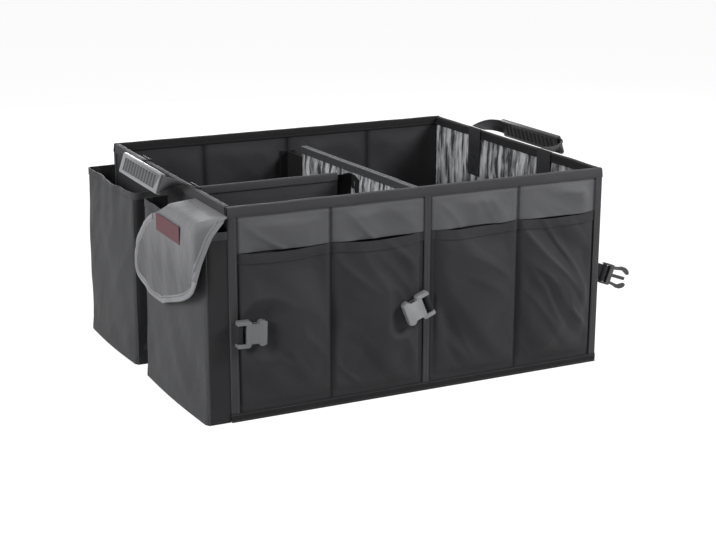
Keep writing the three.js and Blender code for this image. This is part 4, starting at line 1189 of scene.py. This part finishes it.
def rounded_copy(node, body, slot, materials, width, pick=None, suffix="_moulding"):
    """A copy of a solid with its flat faces merged and its edges rounded."""
    mesh = solid(node).data.copy()
    piece = bpy.data.objects.new(node + suffix, mesh)
    bpy.context.collection.objects.link(piece)
    bm = bmesh.new()
    bm.from_mesh(mesh)
    bmesh.ops.remove_doubles(bm, verts=bm.verts, dist=1e-6)
    bmesh.ops.dissolve_limit(bm, angle_limit=math.radians(2), verts=bm.verts, edges=bm.edges)
    limit = math.radians(28)
    sharp = [e for e in bm.edges if len(e.link_faces) == 2 and e.calc_face_angle(0) > limit]
    bmesh.ops.bevel(bm, geom=sharp, offset=width, offset_type="OFFSET", segments=2, profile=0.5,
                    affect="EDGES", clamp_overlap=True)
    bmesh.ops.triangulate(bm, faces=[f for f in bm.faces if len(f.verts) > 4])
    bmesh.ops.recalc_face_normals(bm, faces=bm.faces)
    bm.to_mesh(mesh)
    bm.free()
    mesh.materials.clear()
    for material in materials:
        mesh.materials.append(material)
    for polygon in mesh.polygons:
        polygon.use_smooth = True
        polygon.material_index = pick(polygon.center) if pick else 0
    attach(piece, body)
    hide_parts(node)
    sharpen(piece, 50)


def grip(end, side, materials, slot):
    turn = Euler((0, math.radians(side * GRIP_TILT), 0)).to_matrix()

    def pick(centre):
        local = turn @ (centre - Vector((side * GRIP_X, 0, GRIP_Z)))
        inside = abs(local.z) < GRIP_HEIGHT / 2 - 5.2 * MM and abs(local.y) < GRIP_HALF - 11 * MM
        return 1 if inside else 0

    rounded_copy(end + "_handle_grip", end + "_handle", slot, materials, 0.5 * MM, pick)


for end, side, materials, slot in (("left", -1, (LIT_GRIP_RIM, LIT_GRIP_CORE), "left_grip_rubber"),
                                   ("right", 1, (DARK_GRIP, DARK_GRIP), "right_grip_rubber")):
    handle_strap(end, side)
    strap_end(end + "_handle_anchor_front", side)
    strap_end(end + "_handle_anchor_back", side)
    grip(end, side, materials, slot)


# Buckles and their tabs
for end, kind, tone, width in (("left", "female_buckle", SHEEN_BUCKLE, 0.6 * MM),
                               ("centre", "female_buckle", BRIGHT_SHEEN_BUCKLE, 0.6 * MM),
                               ("right", "male_buckle", BLACK_BUCKLE, 0.5 * MM)):
    rounded_copy(kind + "_" + end, end + "_buckle", kind + "_plastic", [tone], width)
for end in ("left", "centre", "right"):
    rounded_copy("buckle_tab_" + end, ROOT, "webbing", [WEBBING], 0.3 * MM, suffix="_webbing")


# Dividers
def divider_cover(name, box, along_x, top_from, top_to, cloths, reliefs, seed, extras):
    """A thin sleeve open at the top, with a sloping top edge and crumpled sides."""
    low, high = box
    run = Run(low, high, along_x)
    a0, a1, t0, t1 = run.a0, run.a1, run.t0, run.t1
    parts = list(extras)
    for number, (t, sign) in enumerate(((t0, -1), (t1, 1))):
        relief, side_seed = reliefs[number], seed + number
        crumpled = relief > 1.3 * MM

        def surface(u, v):
            a = between(a0, a1, u)
            top = between(top_from, top_to, u)
            z = between(low.z, top, v)
            edge = smoothstep(min(a - a0, a1 - a), 1 * MM, 14 * MM)
            edge *= smoothstep(top - z, 13 * MM, 24 * MM)
            form = crinkle(a, z, side_seed) if crumpled else 1.6 * fold(a, z, side_seed)
            return run.at(a, t + sign * (edge * relief * (0.7 + form) - CLOTH / 2), z)

        nu, nv = int((a1 - a0) / (3.2 * MM)), 62
        parts.append(skins(grid(surface, nu, nv), CLOTH * 0.9, number))
    half, thin = (t1 - t0) / 2 - 0.3 * MM, 0.5 * MM
    for a, top in ((a0 + 0.6 * MM, top_from), (a1 - 0.6 * MM, top_to)):
        line = [(Vector(run.at(a, (t0 + t1) / 2, between(low.z, top, k / 20))), run.side,
                 Vector(run.at(1, 0, 0))) for k in range(21)]
        parts.append(sweep(line, [(-half, -thin), (half, -thin), (half, thin), (-half, thin)]))
    piece = build(name + "_cloth", parts, cloths, ROOT, [name + "_cover"])
    extra = sum(sheet_area(part) for part in extras)


def sheet_area(part):
    """Area of one side of a thin closed sheet."""
    verts, faces, _ = part
    total = 0.0
    for face in faces:
        first, *rest = [Vector(verts[k]) for k in face]
        total += sum((b - first).cross(c - first).length / 2 for b, c in zip(rest, rest[1:]))
    return total / 2


def cap_tape(name, along_x, top_from, top_to, material, seed, ridged):
    """The tape folded over a divider's sloping top edge."""
    run = Run(*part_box(name), along_x)
    width, drop, t = run.t1 - run.t0, -12 * MM, 1.1 * MM
    loop = [(0.0, drop), (0.0, -2 * MM), (width * 0.12, -0.6 * MM), (width * 0.34, 0.0),
            (width * 0.5, -0.25 * MM), (width * 0.66, 0.0), (width * 0.88, -0.6 * MM),
            (width, -2 * MM), (width, drop), (width - t, drop), (width - t, -2.4 * MM),
            (t, -2.4 * MM), (t, drop)]
    path = edge_path(run, top_from - 0.2 * MM, top_to - 0.2 * MM, seed, 0.4 * MM, 0.04)
    parts = [sweep(path, loop), *sewn_sides(path, width, -drop - 2.4 * MM)]
    for share in (0.17, 0.83) if ridged else ():
        ridge = [(c + side * width * share - rise * 0.7 * MM, side, rise) for c, side, rise in path]
        parts.append(sweep(ridge, bead(1.7 * MM, 1.2 * MM, 10), 2))
    build(name + "_tape", parts, [material, THREAD, RIDGE], ROOT, [name])


CENTRE_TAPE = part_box("centre_divider_binding")
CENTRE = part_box("centre_divider_cover")
BACK_FACE = CENTRE[1].y
CENTRE = (CENTRE[0], Vector((CENTRE[1].x, CENTRE_TAPE[1].y, CENTRE[1].z)))
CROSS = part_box("cross_divider_cover")
CROSS_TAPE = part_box("cross_divider_binding")
SLOPE = 9.5 * MM  # fall of the long divider's top from front to back
HOOK_FOOT, HOOK_DROP = 30 * MM, 20 * MM


def back_strip():
    """Soft strip with hook tape from the long divider to the back wall, and its sewn patch."""
    x, top = (CENTRE[0].x + CENTRE[1].x) / 2, CENTRE_TAPE[1].z - SLOPE - HOOK_DROP

    def strip(u, v):
        y = between(CENTRE[1].y, BACK_FACE, u) - 1 * MM
        z = between(HOOK_FOOT, top, v)
        return (x + 0.9 * MM * ripple(y / 0.03, z / 0.07, 71.0) * math.sin(math.pi * u), y, z)

    def patch(u, v):
        return (x + 26 * MM * (u - 0.5), BACK_FACE + 0.4 * MM, between(HOOK_FOOT, top, v))

    return [skins(grid(strip, 24, 60), 1.4 * MM, 2), skins(grid(patch, 8, 40), 1.2 * MM, 2)]


# The long divider's left face turns to the key lamp and takes the lit copy of the lining.
divider_cover("centre_divider", CENTRE, False, CENTRE[1].z, CENTRE[1].z - SLOPE,
              [LIT_LINING, DULL_LINING, HOOK], (2.2 * MM, 0.9 * MM), 51.3, back_strip())
cap_tape("centre_divider_binding", False, CENTRE_TAPE[1].z, CENTRE_TAPE[1].z - SLOPE, DIVIDER_TAPE,
         6.6, True)
divider_cover("cross_divider", CROSS, True, CROSS[1].z, CROSS[1].z, [DIVIDER_CLOTH, DIVIDER_CLOTH],
              (0.9 * MM, 0.9 * MM), 57.8, [])
cap_tape("cross_divider_binding", True, CROSS_TAPE[1].z, CROSS_TAPE[1].z, TAPE, 7.7, False)


def hook_flange():
    """Soft tab with hook tape from the cross divider, its two wings laid on the long divider."""
    node = "cross_divider_hook_flange"
    low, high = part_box(node)
    top = CROSS_TAPE[1].z - 4 * MM

    def web(u, v):
        z = between(low.z, top, v)
        wave = 1.2 * MM * ripple(u * 2, z / 0.05, 81.0) * math.sin(math.pi * u)
        return (between(low.x, high.x - 1.6 * MM, u), (low.y + high.y) / 2 + wave, z)

    def wings(u, v):
        out = 2 * abs(u - 0.5)
        curl = 1.5 * MM * out ** 3 * (0.5 + 0.5 * math.sin(9 * v))
        z = between(low.z, top - 6 * MM * out ** 2, v)
        return (high.x - 0.8 * MM - curl, between(low.y, high.y, u), z)

    parts = [skins(grid(web, 16, 50), 1.3 * MM), skins(grid(wings, 24, 50), 1.2 * MM)]
    build(node + "_strip", parts, [HOOK], ROOT, [node])


hook_flange()


# Base: cloth floor and two covered boards
def floor_panel(name, material, relief, seed):
    """A covered panel with rounded upper edges. The sewn one is the cloth floor itself."""
    low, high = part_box(name)

    def face(sign):
        def surface(u, v):
            x, y = between(low.x, high.x, u), between(low.y, high.y, v)
            away = min(x - low.x, high.x - x, y - low.y, high.y - y)
            drawn = 1 - smoothstep(away, 0.0, 3 * MM)
            if sign > 0:
                return (x, y, high.z - 0.6 * MM * drawn + relief * fold(x, y, seed))
            return (x, y, low.z + 0.5 * MM * drawn)
        return surface

    nu, nv = int((high.x - low.x) / (6 * MM)), int((high.y - low.y) / (6 * MM))
    parts = [two_skins(grid(face(1), nu, nv), grid(face(-1), nu, nv))]
    piece = build(name + "_cloth", parts, [material], ROOT, [name])


floor_panel("base_sheet", SHELL, 0.0, 61.0)
floor_panel("base_board_left", BASE_CLOTH, 0.4 * MM, 62.0)
floor_panel("base_board_right", BASE_CLOTH, 0.4 * MM, 63.0)

for node in boards_of(""):
    solid(node).data.materials.clear()
    solid(node).data.materials.append(BOARD)


# Studio: floor and world that the camera sees as white, and soft lamps round the object
def seen_as_white(tree, plain, out, kind, strength, share, rays):
    """The named rays see plain white light in place of the plain node, by share."""
    n = Tree(tree)
    light = n.add(kind, Color=(1, 1, 1, 1), Strength=strength)
    path = n.add("LightPath").outputs
    seen = path[rays[0]]
    for ray in rays[1:]:
        seen = n.calc("MAXIMUM", seen, path[ray])
    mix = n.add("MixShader")
    n.link(n.calc("MULTIPLY", seen, share), mix.inputs[0])
    n.link(plain.outputs[0], mix.inputs[1])
    n.link(light.outputs[0], mix.inputs[2])
    n.link(mix.outputs[0], out.inputs[0])


def studio():
    world = bpy.data.worlds.new("studio")
    bpy.context.scene.world = world
    world.use_nodes = True
    tree = world.node_tree
    plain = tree.nodes["Background"]
    plain.inputs["Color"].default_value = (1, 1, 1, 1)
    plain.inputs["Strength"].default_value = 0.16
    seen_as_white(tree, plain, tree.nodes["World Output"], "Background", 1.0, 1.0,
                  ("Is Camera Ray", "Is Glossy Ray", "Is Transmission Ray"))

    floor_mesh = bpy.data.meshes.new("studio_floor")
    r = 6.0  # half the floor's side
    floor_mesh.from_pydata([(-r, -r, 0), (r, -r, 0), (r, r, 0), (-r, r, 0)], [], [(0, 1, 2, 3)])
    floor = bpy.data.objects.new("studio_floor", floor_mesh)
    floor.location.z = -0.4 * MM
    bpy.context.collection.objects.link(floor)
    material = bpy.data.materials.new("studio_floor")
    material.use_nodes = True
    tree = material.node_tree
    matt = tree.nodes["Principled BSDF"]
    matt.inputs["Base Color"].default_value = (0.82, 0.82, 0.82, 1)
    matt.inputs["Roughness"].default_value = 0.9
    # The part left over is a faint share of the object's shadow
    seen_as_white(tree, matt, tree.nodes["Material Output"], "Emission", 1.08, 0.86,
                  ("Is Camera Ray", "Is Glossy Ray"))
    floor_mesh.materials.append(material)

    lamps = (("key_left", (-2.0, -0.55, 1.15), 1.0, 66),
             ("front_right", (1.4, -1.1, 1.35), 0.6, 66),
             ("top", (0.2, 0.3, 2.3), 1.4, 20),
             ("back", (0.5, 2.3, 0.5), 1.0, 34),
             ("right", (2.3, 0.6, 0.6), 1.0, 26))
    for name, place, size, power in lamps:
        data = bpy.data.lights.new(name, "AREA")
        data.size = size
        data.energy = power
        lamp = bpy.data.objects.new(name, data)
        lamp.location = place
        aim = Vector((0, 0, 0.15)) - Vector(place)
        lamp.rotation_euler = aim.to_track_quat("-Z", "Y").to_euler()
        bpy.context.collection.objects.link(lamp)


def camera():
    """The photograph's camera: 26 degrees round to the left and 15.7 degrees above the floor."""
    data = bpy.data.cameras.new("photo_camera")
    data.lens = 75.65
    data.sensor_width = 36
    cam = bpy.data.objects.new("photo_camera", data)
    azimuth, elevation = math.radians(-25.93), math.radians(15.66)
    level = math.cos(elevation)
    back = Vector((math.sin(azimuth) * level, -math.cos(azimuth) * level, math.sin(elevation)))
    cam.location = (-0.993, -2.077, 0.764)
    cam.rotation_mode = "QUATERNION"
    cam.rotation_quaternion = (-back).to_track_quat("-Z", "Y")
    bpy.context.collection.objects.link(cam)
    bpy.context.scene.camera = cam


studio()
camera()
bpy.context.scene.view_settings.view_transform = "Standard"
